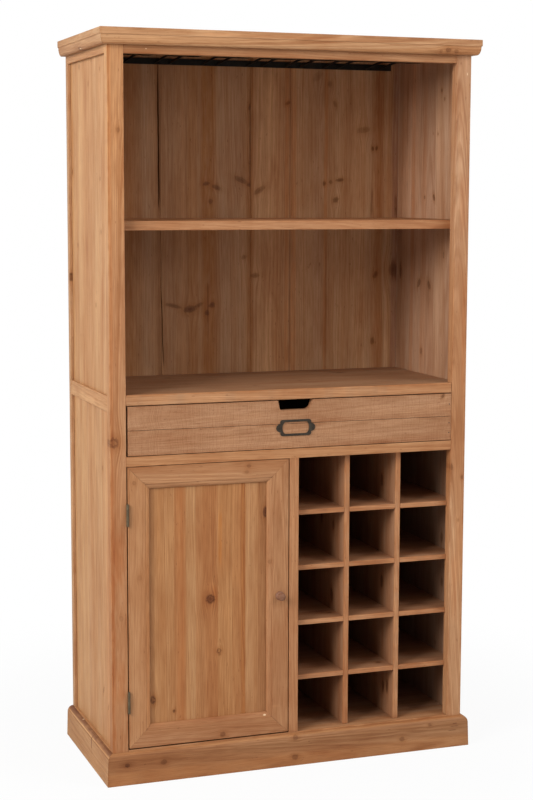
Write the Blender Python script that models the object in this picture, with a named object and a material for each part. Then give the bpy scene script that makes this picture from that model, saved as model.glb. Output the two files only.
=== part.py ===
"""Pine storage cabinet: open hutch with a stemware rack, drawer, panelled door and bottle grid.

Metres, +Z up, front facing -Y. Every piece is built in cabinet coordinates, where y = 0 is the
front face of the stiles and y grows towards the back, and is then moved so that the origin of
the finished cabinet is the bottom centre of its bounding box.
"""

import math

import bmesh
import bpy
from mathutils import Matrix, Vector

for old in list(bpy.data.objects):
    bpy.data.objects.remove(old, do_unlink=True)

# Overall sizes and the gap between pieces that touch
HEIGHT = 1.800
BODY_WIDTH = 0.930
BODY_DEPTH = 0.4145
CLEAR = 0.0003
MITRE_BACK = CLEAR / math.sqrt(2)

# Frame members
STILE_W = 0.0392
STILE_T = 0.026
POST_W = 0.020
TOP_T = 0.022
FRIEZE_H = 0.0347
FRIEZE_T = 0.022
SIDE_TOP_RAIL_H = 0.034
SIDE_MID_RAIL_H = 0.0365
SIDE_MID_RAIL_DROP = 0.0035
BACK_T = 0.010
# Where the back's boards meet, as shares of the width between the side walls
BACK_SEAM_SHARES = (0.2558, 0.5291, 0.6574)
BACK_GROUND_GAP = 0.040

# Side panels, which lie behind the frame and enter a groove in the stile
PANEL_RECESS = 0.008
PANEL_T = 0.006
STILE_GROOVE = 0.006

# Mouldings
CORNICE_H = 0.0374
CORNICE_OUT = 0.0206
CORNICE_FILLET = 0.016
CORNICE_STEP = 0.002
CORNICE_OVOLO_OUT = 0.008
BASE_H = 0.078
BASE_OUT = 0.0150
BASE_FOOT_OUT = 0.0168
BASE_OVOLO_H = 0.016
BASE_OVOLO_OUT = 0.0143
CURVE_STEPS = 6

# Shelves and dividers
FLOOR_LIP = 0.0032
FLOOR_T = 0.022
GRID_H = 0.6956
RAIL_T = 0.0237
DRAWER_OPEN_H = 0.1219
WORKTOP_T = 0.0256
LOWER_BAY_H = 0.387
SHELF_T = 0.022
HOUSING_DEPTH = 0.003
HOUSING_INSET = 0.006
DIVIDER_LEFT = -0.0112
DIVIDER_T = 0.024

# Bottle grid: the middle column is a little narrower and the top row a little taller
UPRIGHT_T = 0.013
MIDDLE_CELL_W = 0.1258
GRID_SHELVES = 4
GRID_SHELF_T = 0.012
TOP_ROW_EXTRA = 0.0065
GRID_SETBACK = 0.019

# Cupboard inside
CUPBOARD_SHELF_T = 0.016
CUPBOARD_SHELF_RISE = 0.340
CUPBOARD_SHELF_SETBACK = 0.030

# Door
DOOR_T = 0.020
DOOR_GAP_SIDE = 0.003
DOOR_GAP_TOP = 0.0015
DOOR_GAP_BOTTOM = 0.004
FRAME_W = 0.0547
BEAD_W = 0.0125
BEAD_H = 0.0075
BEAD_QUIRK = 0.0016
DOOR_PANEL_T = 0.006
DOOR_PANEL_BACK = 0.010
DOOR_GROOVE = 0.008
DOOR_PANEL_PLAY = 0.0015

# Knob
KNOB_R = 0.0112
KNOB_PROUD = 0.022
KNOB_IN = 0.0227
KNOB_RISE = 0.3492
KNOB_TENON_R = 0.005
KNOB_TENON_L = 0.014
KNOB_STEPS = 20
# Shares of the knob's radius and height, from its foot to the rim of its face
KNOB_OUTLINE = (
    (1.0, 0.0),
    (1.0, 0.07),
    (0.78, 0.16),
    (0.58, 0.28),
    (0.54, 0.40),
    (0.66, 0.52),
    (0.84, 0.64),
    (0.88, 0.78),
    (0.76, 0.91),
    (0.46, 0.98),
)

# Hinges
HINGE_H = 0.053
HINGE_INSET = 0.115
LEAF_T = 0.0008
LEAF_W = 0.0175
BARREL_R = 0.0034
BARREL_STEPS = 14
PIN_R = 0.0013
PIN_HEAD_R = 0.0022
PIN_HEAD_H = 0.0014

# Catch
CATCH_W = 0.040
CATCH_H = 0.014
CATCH_D = 0.020
CATCH_IN = 0.045
STRIKE_T = 0.0012

# Drawer
DRAWER_GAP = 0.002
DRAWER_GAP_LEFT = 0.0045
DRAWER_GAP_RIGHT = 0.0012
DRAWER_FRONT_T = 0.020
DRAWER_LOWER_H = 0.0602
DRAWER_SEAM = 0.0011
DRAWER_BOX_T = 0.012
DRAWER_BOX_H = 0.092
DRAWER_BOTTOM_T = 0.006
DRAWER_BOTTOM_RISE = 0.006
DRAWER_GROOVE = 0.005
DRAWER_SIDE_IN = 0.0106
GUIDE_PLAY = 0.0007
GUIDE_H = 0.040
STOP_W = 0.040
STOP_T = 0.0186
NOTCH_TOP_W = 0.092
NOTCH_BOTTOM_W = 0.085
NOTCH_DEPTH = 0.0242
NOTCH_LEFT_R = 0.008
NOTCH_RIGHT_R = 0.016
# How far right of the drawer's middle the notch and the label holder sit
PULL_X = 0.0035

# Label holder
LABEL_W = 0.081
LABEL_H = 0.040
LABEL_T = 0.0015
LABEL_CORNER_R = 0.006
# How far the label holder's middle lies below the seam between the two front boards
LABEL_DROP = 0.010
EAR_R = 0.0102
WINDOW_W = 0.0704
WINDOW_FLAT_W = 0.054
WINDOW_H = 0.029
LABEL_PIN_OUT = 0.0448
LABEL_PIN_R = 0.0012
LABEL_PIN_HEAD_R = 0.0034
LABEL_PIN_HEAD_H = 0.002
LABEL_PIN_L = 0.011
LABEL_PIN_STEPS = 10
EAR_STEPS = 24

# Stemware rack
RACK_BAR_T = 0.003
RACK_BAR_H = 0.016
RACK_BAR_DROP = 0.0285
ROD_R = 0.003
ROD_SIDES = 8
ROD_SPREAD = 0.040
# Middles of the pairs of rods, as shares of the distance from the middle to a side wall
ROD_PAIR_SHARES = (-0.745, -0.477, -0.191, 0.080, 0.317, 0.554, 0.823)
# Share of the way from the front bar to the back bar, and the rod's drop below the ceiling there
ROD_OUTLINE = (
    (0.0, 0.0240),
    (0.15, 0.0250),
    (0.35, 0.0235),
    (0.52, 0.0190),
    (0.62, 0.0155),
    (0.70, 0.0140),
    (0.78, 0.0158),
    (0.88, 0.0195),
    (1.0, 0.0245),
)

# Levels, each the underside or top of a board
HALF = BODY_WIDTH / 2
OPEN_X = HALF - STILE_W
PANEL_X = HALF - PANEL_RECESS
WALL_X = PANEL_X - PANEL_T
CEILING_Z = HEIGHT - TOP_T
FRAME_TOP_Z = CEILING_Z - CLEAR
FLOOR_Z = BASE_H + FLOOR_LIP
GRID_TOP_Z = FLOOR_Z + GRID_H
DRAWER_FLOOR_Z = GRID_TOP_Z + RAIL_T
DRAWER_LOW_Z = DRAWER_FLOOR_Z + DRAWER_GAP
DRAWER_SEAM_Z = DRAWER_LOW_Z + DRAWER_LOWER_H
DRAWER_TOP_Z = DRAWER_FLOOR_Z + DRAWER_OPEN_H
WORKTOP_Z = DRAWER_TOP_Z + WORKTOP_T
SHELF_Z = WORKTOP_Z + LOWER_BAY_H
MID_RAIL_TOP_Z = WORKTOP_Z - SIDE_MID_RAIL_DROP
MID_RAIL_Z = MID_RAIL_TOP_Z - SIDE_MID_RAIL_H
TOP_RAIL_Z = FRAME_TOP_Z - SIDE_TOP_RAIL_H
PANEL_SEAM_Z = (DRAWER_TOP_Z + WORKTOP_Z) / 2
BOARD_BACK_Y = BODY_DEPTH - BACK_T - CLEAR
BEHIND_STILE_Y = STILE_T + CLEAR
STOP_Y = BOARD_BACK_Y - STOP_T
POST_Y = BODY_DEPTH - POST_W
DIVIDER_RIGHT = DIVIDER_LEFT + DIVIDER_T

# Door outline and hinge axis
DOOR_LEFT = -OPEN_X + DOOR_GAP_SIDE
DOOR_RIGHT = DIVIDER_LEFT - DOOR_GAP_SIDE
DOOR_BOTTOM = FLOOR_Z + DOOR_GAP_BOTTOM
DOOR_TOP = GRID_TOP_Z - DOOR_GAP_TOP
HINGE_X = -OPEN_X + DOOR_GAP_SIDE / 2
HINGE_Y = -BARREL_R - CLEAR

# The knob reaches furthest forward, or else the cornice
FRONT_REACH = max(KNOB_PROUD, CORNICE_OUT, BASE_FOOT_OUT, BARREL_R - HINGE_Y)
FACE_Y = FRONT_REACH - (BODY_DEPTH + FRONT_REACH) / 2

# Colours of the plain CAD materials: base colour, roughness, metallic
PINE = ((0.55, 0.33, 0.18, 1.0), 0.55, 0.0)
PINE_PALE = ((0.62, 0.40, 0.23, 1.0), 0.60, 0.0)
PINE_DARK = ((0.34, 0.20, 0.12, 1.0), 0.65, 0.0)
BRONZE = ((0.11, 0.10, 0.08, 1.0), 0.45, 0.9)
OLD_BRASS = ((0.30, 0.25, 0.14, 1.0), 0.40, 0.9)
BLACK_STEEL = ((0.02, 0.02, 0.02, 1.0), 0.45, 0.6)

pieces = {}


def mesh_from(name, corners, faces):
    """Return a closed mesh with its faces turned outwards."""
    shape = bmesh.new()
    verts = [shape.verts.new(corner) for corner in corners]
    for face in faces:
        shape.faces.new([verts[index] for index in face])
    bmesh.ops.recalc_face_normals(shape, faces=shape.faces)
    mesh = bpy.data.meshes.new(name)
    shape.to_mesh(mesh)
    shape.free()
    return mesh


def add_object(name, mesh):
    """Link an object that holds the mesh."""
    made = bpy.data.objects.new(name, mesh)
    bpy.context.scene.collection.objects.link(made)
    return made


def piece(name, mesh, look):
    """Add one named sub-part with a material of its own."""
    made = add_object(name, mesh)
    colour, roughness, metallic = look
    material = bpy.data.materials.new(name + "_finish")
    material.use_nodes = True
    shader = material.node_tree.nodes["Principled BSDF"]
    shader.inputs["Base Color"].default_value = colour
    shader.inputs["Roughness"].default_value = roughness
    shader.inputs["Metallic"].default_value = metallic
    mesh.materials.append(material)
    pieces[name] = made
    return made


def loft_mesh(name, loops):
    """Join loops of equal length into a closed tube with flat ends."""
    count = len(loops[0])
    corners = [corner for loop in loops for corner in loop]
    faces = [list(range(count)), list(range(len(corners) - count, len(corners)))]
    for ring in range(len(loops) - 1):
        start = ring * count
        for index in range(count):
            after = (index + 1) % count
            faces.append([start + index, start + after, start + count + after, start + count + index])
    return mesh_from(name, corners, faces)


def box_mesh(name, x, y, z):
    """Return a box between two values on each axis."""
    outline = [(x[0], y[0]), (x[1], y[0]), (x[1], y[1]), (x[0], y[1])]
    return prism_mesh(name, outline, "Z", z)


def prism_mesh(name, outline, axis, span):
    """Extrude a flat outline along an axis."""
    def lift(point, along):
        if axis == "X":
            return (along, point[0], point[1])
        if axis == "Y":
            return (point[0], along, point[1])
        return (point[0], point[1], along)

    return loft_mesh(name, [[lift(point, along) for point in outline] for along in span])


def box(name, look, x, y, z):
    """Add a plain board."""
    return piece(name, box_mesh(name, x, y, z), look)


def prism(name, look, outline, axis, span):
    """Add a board with a shaped outline."""
    return piece(name, prism_mesh(name, outline, axis, span), look)


def both(side, low, high):
    """Return a span on the left (-1) or right (+1) of the centre."""
    return (side * low, side * high) if side > 0 else (side * high, side * low)


def arc(centre, radii, start, end, steps):
    """Return points on an elliptical arc, angles in degrees."""
    points = []
    for index in range(steps + 1):
        angle = math.radians(start + (end - start) * index / steps)
        points.append((centre[0] + radii[0] * math.cos(angle), centre[1] + radii[1] * math.sin(angle)))
    return points


def turned_mesh(name, profile, centre, axis, steps):
    """Turn a profile of (radius, distance along the axis) about an axis through the centre."""
    turn = Vector((0, 0, 1)).rotation_difference(Vector(axis)).to_matrix()
    corners = []
    rings = []
    for radius, along in profile:
        count = steps if radius > 0 else 1
        ring = []
        for index in range(count):
            angle = 2 * math.pi * index / steps
            local = Vector((radius * math.cos(angle), radius * math.sin(angle), along))
            ring.append(len(corners))
            corners.append(Vector(centre) + turn @ local)
        rings.append(ring)
    faces = []
    for ring in (rings[0], rings[-1]):
        if len(ring) > 1:
            faces.append(ring)
    for lower, upper in zip(rings, rings[1:]):
        for index in range(steps):
            after = (index + 1) % steps
            if len(lower) == 1:
                faces.append([lower[0], upper[after], upper[index]])
            elif len(upper) == 1:
                faces.append([lower[index], lower[after], upper[0]])
            else:
                faces.append([lower[index], lower[after], upper[after], upper[index]])
    return mesh_from(name, corners, faces)


def combine(target, meshes, operation):
    """Cut meshes out of the target, or join them to it, and keep the result."""
    for mesh in meshes:
        tool = add_object("tool", mesh)
        tool.hide_render = True
        tool.display_type = "WIRE"
        step = target.modifiers.new("step", "BOOLEAN")
        step.operation = operation
        step.solver = "EXACT"
        step.object = tool
        bpy.context.view_layer.update()
        solved = target.evaluated_get(bpy.context.evaluated_depsgraph_get())
        result = bpy.data.meshes.new_from_object(solved)
        target.modifiers.clear()
        old = target.data
        target.data = result
        result.name = target.name
        bpy.data.meshes.remove(old)
        bpy.data.objects.remove(tool, do_unlink=True)


# Mouldings: the profile runs as (distance out from the body, height)

def cornice_profile():
    """Fillet, small step, ovolo and flat underside."""
    step_out = CORNICE_OUT - CORNICE_STEP
    ovolo_foot = step_out - CORNICE_OVOLO_OUT
    ovolo_top = HEIGHT - CORNICE_FILLET
    ovolo_h = CORNICE_H - CORNICE_FILLET
    curve = arc((ovolo_foot, ovolo_top), (CORNICE_OVOLO_OUT, ovolo_h), 0, -90, CURVE_STEPS)
    start = [(CLEAR, HEIGHT), (CORNICE_OUT, HEIGHT), (CORNICE_OUT, ovolo_top)]
    return start + curve + [(CLEAR, HEIGHT - CORNICE_H)]


def base_profile():
    """Tall board with an ovolo on its top edge, whose face leans out a little to its foot."""
    spring = BASE_H - BASE_OVOLO_H
    foot = BASE_OUT - BASE_OVOLO_OUT
    curve = arc((foot, spring), (BASE_OVOLO_OUT, BASE_OVOLO_H), 0, 90, CURVE_STEPS)
    return [(CLEAR, 0), (BASE_FOOT_OUT, 0)] + curve + [(CLEAR, BASE_H)]


def add_mouldings(stem, profile):
    """Run a profile round the front and both sides, mitred at the front corners."""
    front = []
    for side in (-1, 1):
        front.append([(side * (HALF + out - MITRE_BACK), -out, z) for out, z in profile])
    piece(stem + "_front", loft_mesh(stem + "_front", front), PINE)
    for side, label in ((-1, "_left"), (1, "_right")):
        near = [(side * (HALF + out), -out + MITRE_BACK, z) for out, z in profile]
        far = [(side * (HALF + out), BODY_DEPTH, z) for out, z in profile]
        piece(stem + label, loft_mesh(stem + label, [near, far]), PINE_PALE)


# Carcass

def notched_board(front_y):
    """Outline of a board that fits round both stiles and reaches the side walls and the back."""
    narrow = OPEN_X - CLEAR
    wide = WALL_X - CLEAR
    return [
        (-narrow, front_y),
        (narrow, front_y),
        (narrow, BEHIND_STILE_Y),
        (wide, BEHIND_STILE_Y),
        (wide, BOARD_BACK_Y),
        (-wide, BOARD_BACK_Y),
        (-wide, BEHIND_STILE_Y),
        (-narrow, BEHIND_STILE_Y),
    ]


def add_side(side, label):
    """Grooved stile, two panels one above the other, and the frame members on their outside."""
    groove_y = STILE_T - STILE_GROOVE
    section = [
        (OPEN_X, 0),
        (HALF, 0),
        (HALF, STILE_T),
        (PANEL_X + CLEAR, STILE_T),
        (PANEL_X + CLEAR, groove_y - CLEAR),
        (WALL_X - CLEAR, groove_y - CLEAR),
        (WALL_X - CLEAR, STILE_T),
        (OPEN_X, STILE_T),
    ]
    stile = [(side * x, y) for x, y in section]
    prism(label + "_front_stile", PINE, stile, "Z", (0, FRAME_TOP_Z))
    panel_x = both(side, WALL_X, PANEL_X)
    panel_y = (groove_y, BODY_DEPTH)
    box(label + "_lower_panel", PINE_PALE, panel_x, panel_y, (0, PANEL_SEAM_Z - CLEAR))
    box(label + "_upper_panel", PINE_PALE, panel_x, panel_y, (PANEL_SEAM_Z, FRAME_TOP_Z))
    frame_x = both(side, PANEL_X + CLEAR, HALF)
    rail_y = (BEHIND_STILE_Y, POST_Y - CLEAR)
    box(label + "_rear_post", PINE_PALE, frame_x, (POST_Y, BODY_DEPTH), (0, FRAME_TOP_Z))
    box(label + "_top_rail", PINE_PALE, frame_x, rail_y, (TOP_RAIL_Z, FRAME_TOP_Z))
    box(label + "_middle_rail", PINE_PALE, frame_x, rail_y, (MID_RAIL_Z, MID_RAIL_TOP_Z))
    box(label + "_bottom_rail", PINE_PALE, frame_x, rail_y, (0, BASE_H))


def add_back():
    """Vertical boards, each with a tongue on its right and a groove on its left."""
    span = 2 * WALL_X - CLEAR
    third = BACK_T / 3
    front = BODY_DEPTH - BACK_T
    tongue_y = (front + third, front + 2 * third)
    starts = (0,) + BACK_SEAM_SHARES
    ends = BACK_SEAM_SHARES + (1,)
    for index, (start, end) in enumerate(zip(starts, ends)):
        left = -WALL_X + CLEAR + start * span
        right = -WALL_X + end * span
        outline = [(left, front), (right, front)]
        if end < 1:
            outline += [
                (right, tongue_y[0]),
                (right + third, tongue_y[0]),
                (right + third, tongue_y[1]),
                (right, tongue_y[1]),
            ]
        outline += [(right, BODY_DEPTH), (left, BODY_DEPTH)]
        if index > 0:
            outline += [
                (left, tongue_y[1] + CLEAR),
                (left + third, tongue_y[1] + CLEAR),
                (left + third, tongue_y[0] - CLEAR),
                (left, tongue_y[0] - CLEAR),
            ]
        prism("back_board_%d" % (index + 1), PINE_DARK, outline, "Z", (BACK_GROUND_GAP, FRAME_TOP_Z))


def add_hutch_shelf():
    """Shelf whose ends are housed in the side panels."""
    top = SHELF_Z + SHELF_T
    wide = WALL_X - CLEAR
    tip = WALL_X + HOUSING_DEPTH
    start = BEHIND_STILE_Y + HOUSING_INSET
    end = POST_Y - HOUSING_INSET
    outline = []
    for side in (1, -1):
        near = [(wide, BEHIND_STILE_Y), (wide, start), (tip, start), (tip, end), (wide, end)]
        near.append((wide, BOARD_BACK_Y))
        run = [(side * x, y) for x, y in near]
        outline += run if side > 0 else list(reversed(run))
    prism("hutch_shelf", PINE, outline, "Z", (SHELF_Z, top))
    for side, label in ((-1, "left"), (1, "right")):
        housing_x = both(side, WALL_X - CLEAR, tip + CLEAR)
        housing = box_mesh("housing", housing_x, (start - CLEAR, end + CLEAR), (SHELF_Z - CLEAR, top + CLEAR))
        combine(pieces[label + "_upper_panel"], [housing], "DIFFERENCE")


def add_carcass():
    """Boards and frame that everything else hangs on."""
    box("top_board", PINE, (-HALF, HALF), (0, BODY_DEPTH), (CEILING_Z, HEIGHT))
    frieze_x = (-OPEN_X + CLEAR, OPEN_X - CLEAR)
    box("frieze_rail", PINE, frieze_x, (0, FRIEZE_T), (FRAME_TOP_Z - FRIEZE_H, FRAME_TOP_Z))
    add_side(-1, "left")
    add_side(1, "right")
    add_mouldings("cornice", cornice_profile())
    add_mouldings("base", base_profile())
    add_back()
    add_hutch_shelf()
    prism("worktop", PINE, notched_board(0), "Z", (DRAWER_TOP_Z, WORKTOP_Z))
    prism("under_drawer_board", PINE, notched_board(0), "Z", (GRID_TOP_Z, DRAWER_FLOOR_Z))
    prism("bottom_board", PINE, notched_board(0), "Z", (FLOOR_Z - FLOOR_T, FLOOR_Z))
    divider_z = (FLOOR_Z + CLEAR, GRID_TOP_Z - CLEAR)
    box("divider_board", PINE, (DIVIDER_LEFT, DIVIDER_RIGHT), (0, BOARD_BACK_Y), divider_z)


# Bottle grid

def add_bottle_grid():
    """Uprights and shelves halved into each other: uprights whole at the front, shelves at the back.

    The grid stands back behind the stile's face, and its shelves run behind the stile to the wall.
    """
    low = FLOOR_Z + CLEAR
    high = GRID_TOP_Z - CLEAR
    front = GRID_SETBACK
    back = BOARD_BACK_Y
    middle = (front + back) / 2
    right = OPEN_X - CLEAR
    outer_cell_w = (right - DIVIDER_RIGHT - MIDDLE_CELL_W - 2 * UPRIGHT_T) / 2
    cell_h = (GRID_H - TOP_ROW_EXTRA - GRID_SHELVES * GRID_SHELF_T) / (GRID_SHELVES + 1)
    upright_x = [
        (DIVIDER_RIGHT + outer_cell_w, DIVIDER_RIGHT + outer_cell_w + UPRIGHT_T),
        (right - outer_cell_w - UPRIGHT_T, right - outer_cell_w),
    ]
    shelf_z = []
    for index in range(GRID_SHELVES):
        start = FLOOR_Z + (index + 1) * cell_h + index * GRID_SHELF_T
        shelf_z.append((start, start + GRID_SHELF_T))

    outline = [(front, low), (back, low)]
    for start, end in shelf_z:
        outline += [
            (back, start - CLEAR),
            (middle - CLEAR, start - CLEAR),
            (middle - CLEAR, end + CLEAR),
            (back, end + CLEAR),
        ]
    outline += [(back, high), (front, high)]
    for index, span in enumerate(upright_x):
        prism("grid_upright_%d" % (index + 1), PINE, outline, "X", span)

    outline = [(DIVIDER_RIGHT + CLEAR, back), (DIVIDER_RIGHT + CLEAR, front)]
    for start, end in upright_x:
        outline += [
            (start - CLEAR, front),
            (start - CLEAR, middle + CLEAR),
            (end + CLEAR, middle + CLEAR),
            (end + CLEAR, front),
        ]
    outline += [
        (right, front),
        (right, BEHIND_STILE_Y),
        (WALL_X - CLEAR, BEHIND_STILE_Y),
        (WALL_X - CLEAR, back),
    ]
    for index, span in enumerate(shelf_z):
        prism("grid_shelf_%d" % (index + 1), PINE, outline, "Z", span)


# Cupboard inside

def add_cupboard_inside():
    """Shelf housed in the left panel and the divider, and the magnetic catch with its strike plate."""
    under = FLOOR_Z + CUPBOARD_SHELF_RISE
    over = under + CUPBOARD_SHELF_T
    start = CUPBOARD_SHELF_SETBACK
    end = POST_Y - HOUSING_INSET
    left_tip = -WALL_X - HOUSING_DEPTH
    right_tip = DIVIDER_LEFT + HOUSING_DEPTH
    outline = [
        (left_tip, start),
        (right_tip, start),
        (right_tip, end),
        (DIVIDER_LEFT - CLEAR, end),
        (DIVIDER_LEFT - CLEAR, BOARD_BACK_Y),
        (-WALL_X + CLEAR, BOARD_BACK_Y),
        (-WALL_X + CLEAR, end),
        (left_tip, end),
    ]
    prism("cupboard_shelf", PINE, outline, "Z", (under, over))
    housing_y = (start - CLEAR, end + CLEAR)
    housing_z = (under - CLEAR, over + CLEAR)
    left = box_mesh("housing", (left_tip - CLEAR, -WALL_X + CLEAR), housing_y, housing_z)
    combine(pieces["left_lower_panel"], [left], "DIFFERENCE")
    right = box_mesh("housing", (DIVIDER_LEFT - CLEAR, right_tip + CLEAR), housing_y, housing_z)
    combine(pieces["divider_board"], [right], "DIFFERENCE")
    catch_x = (DOOR_RIGHT - CATCH_IN - CATCH_W, DOOR_RIGHT - CATCH_IN)
    strike_y = (DOOR_T + CLEAR, DOOR_T + CLEAR + STRIKE_T)
    catch_y = (strike_y[1] + CLEAR, strike_y[1] + CLEAR + CATCH_D)
    catch_z = (GRID_TOP_Z - CLEAR - CATCH_H, GRID_TOP_Z - CLEAR)
    strike_z = (catch_z[0], DOOR_TOP - STRIKE_T)
    box("magnetic_catch", BLACK_STEEL, catch_x, catch_y, catch_z)
    box("door_strike_plate", OLD_BRASS, catch_x, strike_y, strike_z)


# Door

def door_profile():
    """Section of a frame member as (distance from its outer edge, depth from its face)."""
    flat = FRAME_W - BEAD_W
    groove_near = DOOR_PANEL_BACK - CLEAR
    groove_far = DOOR_PANEL_BACK + DOOR_PANEL_T + CLEAR
    groove_floor = FRAME_W - DOOR_GROOVE
    bead = arc((flat, BEAD_QUIRK + BEAD_H), (BEAD_W, -BEAD_H), 90, 0, CURVE_STEPS)
    return [(0, 0), (flat, 0)] + bead + [
        (FRAME_W, groove_near),
        (groove_floor, groove_near),
        (groove_floor, groove_far),
        (FRAME_W, groove_far),
        (FRAME_W, DOOR_T),
        (0, DOOR_T),
    ]


def add_door_frame():
    """Two stiles and two rails, mitred at the corners."""
    profile = door_profile()
    for side, label in ((1, "left"), (-1, "right")):
        edge = DOOR_LEFT if side > 0 else DOOR_RIGHT
        low = [(edge + side * u, depth, DOOR_BOTTOM + u + MITRE_BACK) for u, depth in profile]
        high = [(edge + side * u, depth, DOOR_TOP - u - MITRE_BACK) for u, depth in profile]
        name = "door_%s_stile" % label
        piece(name, loft_mesh(name, [low, high]), PINE)
    for side, label in ((1, "bottom"), (-1, "top")):
        edge = DOOR_BOTTOM if side > 0 else DOOR_TOP
        near = [(DOOR_LEFT + u + MITRE_BACK, depth, edge + side * u) for u, depth in profile]
        far = [(DOOR_RIGHT - u - MITRE_BACK, depth, edge + side * u) for u, depth in profile]
        name = "door_%s_rail" % label
        piece(name, loft_mesh(name, [near, far]), PINE)
    inset = FRAME_W - DOOR_GROOVE + DOOR_PANEL_PLAY
    panel_x = (DOOR_LEFT + inset, DOOR_RIGHT - inset)
    panel_y = (DOOR_PANEL_BACK, DOOR_PANEL_BACK + DOOR_PANEL_T)
    box("door_panel", PINE, panel_x, panel_y, (DOOR_BOTTOM + inset, DOOR_TOP - inset))


def add_knob():
    """Turned knob with a round tenon glued into the door."""
    centre = (DOOR_RIGHT - KNOB_IN, 0, DOOR_BOTTOM + KNOB_RISE)
    profile = [
        (KNOB_TENON_R, -KNOB_TENON_L),
        (KNOB_TENON_R, CLEAR),
    ]
    height = KNOB_PROUD - CLEAR
    profile += [(across * KNOB_R, CLEAR + up * height) for across, up in KNOB_OUTLINE]
    profile.append((0, KNOB_PROUD))
    piece("door_knob", turned_mesh("door_knob", profile, centre, (0, -1, 0), KNOB_STEPS), PINE)
    hole_r = KNOB_TENON_R + CLEAR
    hole_l = KNOB_TENON_L + CLEAR
    hole = turned_mesh("hole", [(hole_r, -hole_l), (hole_r, hole_l)], centre, (0, -1, 0), KNOB_STEPS)
    combine(pieces["door_right_stile"], [hole], "DIFFERENCE")


def hinge_round(name, radius, z):
    """Upright cylinder on the hinge axis."""
    profile = [(radius, z[0]), (radius, z[1])]
    return turned_mesh(name, profile, (HINGE_X, HINGE_Y, 0), (0, 0, 1), BARREL_STEPS)


def add_hinge(label, centre_z):
    """Butt hinge: fixed leaf with two knuckles and the pin, door leaf with the middle knuckle."""
    low = centre_z - HINGE_H / 2
    high = centre_z + HINGE_H / 2
    third = HINGE_H / 3
    fixed_x = (-OPEN_X + CLEAR, -OPEN_X + CLEAR + LEAF_T)
    door_x = (DOOR_LEFT - CLEAR - LEAF_T, DOOR_LEFT - CLEAR)
    leaves = {
        "fixed": (fixed_x, [(low, low + third - CLEAR), (high - third + CLEAR, high)]),
        "door": (door_x, [(low + third, high - third)]),
    }
    for kind, (plate_x, spans) in leaves.items():
        name = "%s_hinge_%s_leaf" % (label, kind)
        leaf = piece(name, box_mesh(name, plate_x, (2 * CLEAR, LEAF_W), (low, high)), OLD_BRASS)
        for span in spans:
            web = box_mesh("web", plate_x, (HINGE_Y, 3 * CLEAR), span)
            combine(leaf, [web, hinge_round("knuckle", BARREL_R, span)], "UNION")
    bore = hinge_round("bore", PIN_R + CLEAR, (low, high))
    combine(pieces["%s_hinge_door_leaf" % label], [bore], "DIFFERENCE")
    profile = [
        (PIN_R, low + CLEAR),
        (PIN_R, high - CLEAR),
        (PIN_HEAD_R, high - CLEAR),
        (PIN_HEAD_R, high + PIN_HEAD_H / 2),
        (PIN_R, high + PIN_HEAD_H),
    ]
    pin = turned_mesh("pin", profile, (HINGE_X, HINGE_Y, 0), (0, 0, 1), BARREL_STEPS)
    combine(pieces["%s_hinge_fixed_leaf" % label], [pin], "UNION")


# Drawer

def notch_corner(radius, low):
    """Right side of the finger notch from its top edge down to its floor."""
    corner_x = NOTCH_BOTTOM_W / 2 - radius
    return arc((corner_x, low + radius), (radius, radius), 0, -90, CURVE_STEPS)


def add_drawer_front():
    """Two boards one above the other, with the finger notch in the upper one."""
    left = -OPEN_X + DRAWER_GAP_LEFT
    right = OPEN_X - DRAWER_GAP_RIGHT
    high = DRAWER_TOP_Z - DRAWER_GAP
    front_y = (0, DRAWER_FRONT_T)
    lower_z = (DRAWER_LOW_Z, DRAWER_SEAM_Z - DRAWER_SEAM / 2)
    box("drawer_lower_front", PINE, (left, right), front_y, lower_z)
    upper_z = DRAWER_SEAM_Z + DRAWER_SEAM / 2
    notch_z = high - NOTCH_DEPTH
    right_half = [(NOTCH_TOP_W / 2, high)] + notch_corner(NOTCH_RIGHT_R, notch_z)
    left_half = [(NOTCH_TOP_W / 2, high)] + notch_corner(NOTCH_LEFT_R, notch_z)
    outline = [(left, upper_z), (right, upper_z), (right, high)]
    outline += [(PULL_X + x, z) for x, z in right_half]
    outline += [(PULL_X - x, z) for x, z in reversed(left_half)]
    outline += [(left, high)]
    prism("drawer_upper_front", PINE, outline, "Y", front_y)


def add_drawer_box():
    """Sides and back, with the bottom held in grooves."""
    outer = OPEN_X - DRAWER_SIDE_IN
    inner = outer - DRAWER_BOX_T
    low = DRAWER_FLOOR_Z + CLEAR
    high = low + DRAWER_BOX_H
    front = DRAWER_FRONT_T + CLEAR
    back = STOP_Y - CLEAR
    bottom_z = (low + DRAWER_BOTTOM_RISE, low + DRAWER_BOTTOM_RISE + DRAWER_BOTTOM_T)
    groove_z = (bottom_z[0] - CLEAR, bottom_z[1] + CLEAR)
    for side, label in ((-1, "left"), (1, "right")):
        groove_x = inner + DRAWER_GROOVE + CLEAR
        section = [
            (inner, low),
            (outer, low),
            (outer, high),
            (inner, high),
            (inner, groove_z[1]),
            (groove_x, groove_z[1]),
            (groove_x, groove_z[0]),
            (inner, groove_z[0]),
        ]
        outline = [(side * x, z) for x, z in section]
        prism("drawer_%s_side" % label, PINE_PALE, outline, "Y", (front, back))
    between = (-inner + CLEAR, inner - CLEAR)
    box("drawer_back", PINE_PALE, between, (back - DRAWER_BOX_T, back), (groove_z[1], high))
    bottom_x = (-inner - DRAWER_GROOVE, inner + DRAWER_GROOVE)
    box("drawer_bottom", PINE_PALE, bottom_x, (front, back), bottom_z)


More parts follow.
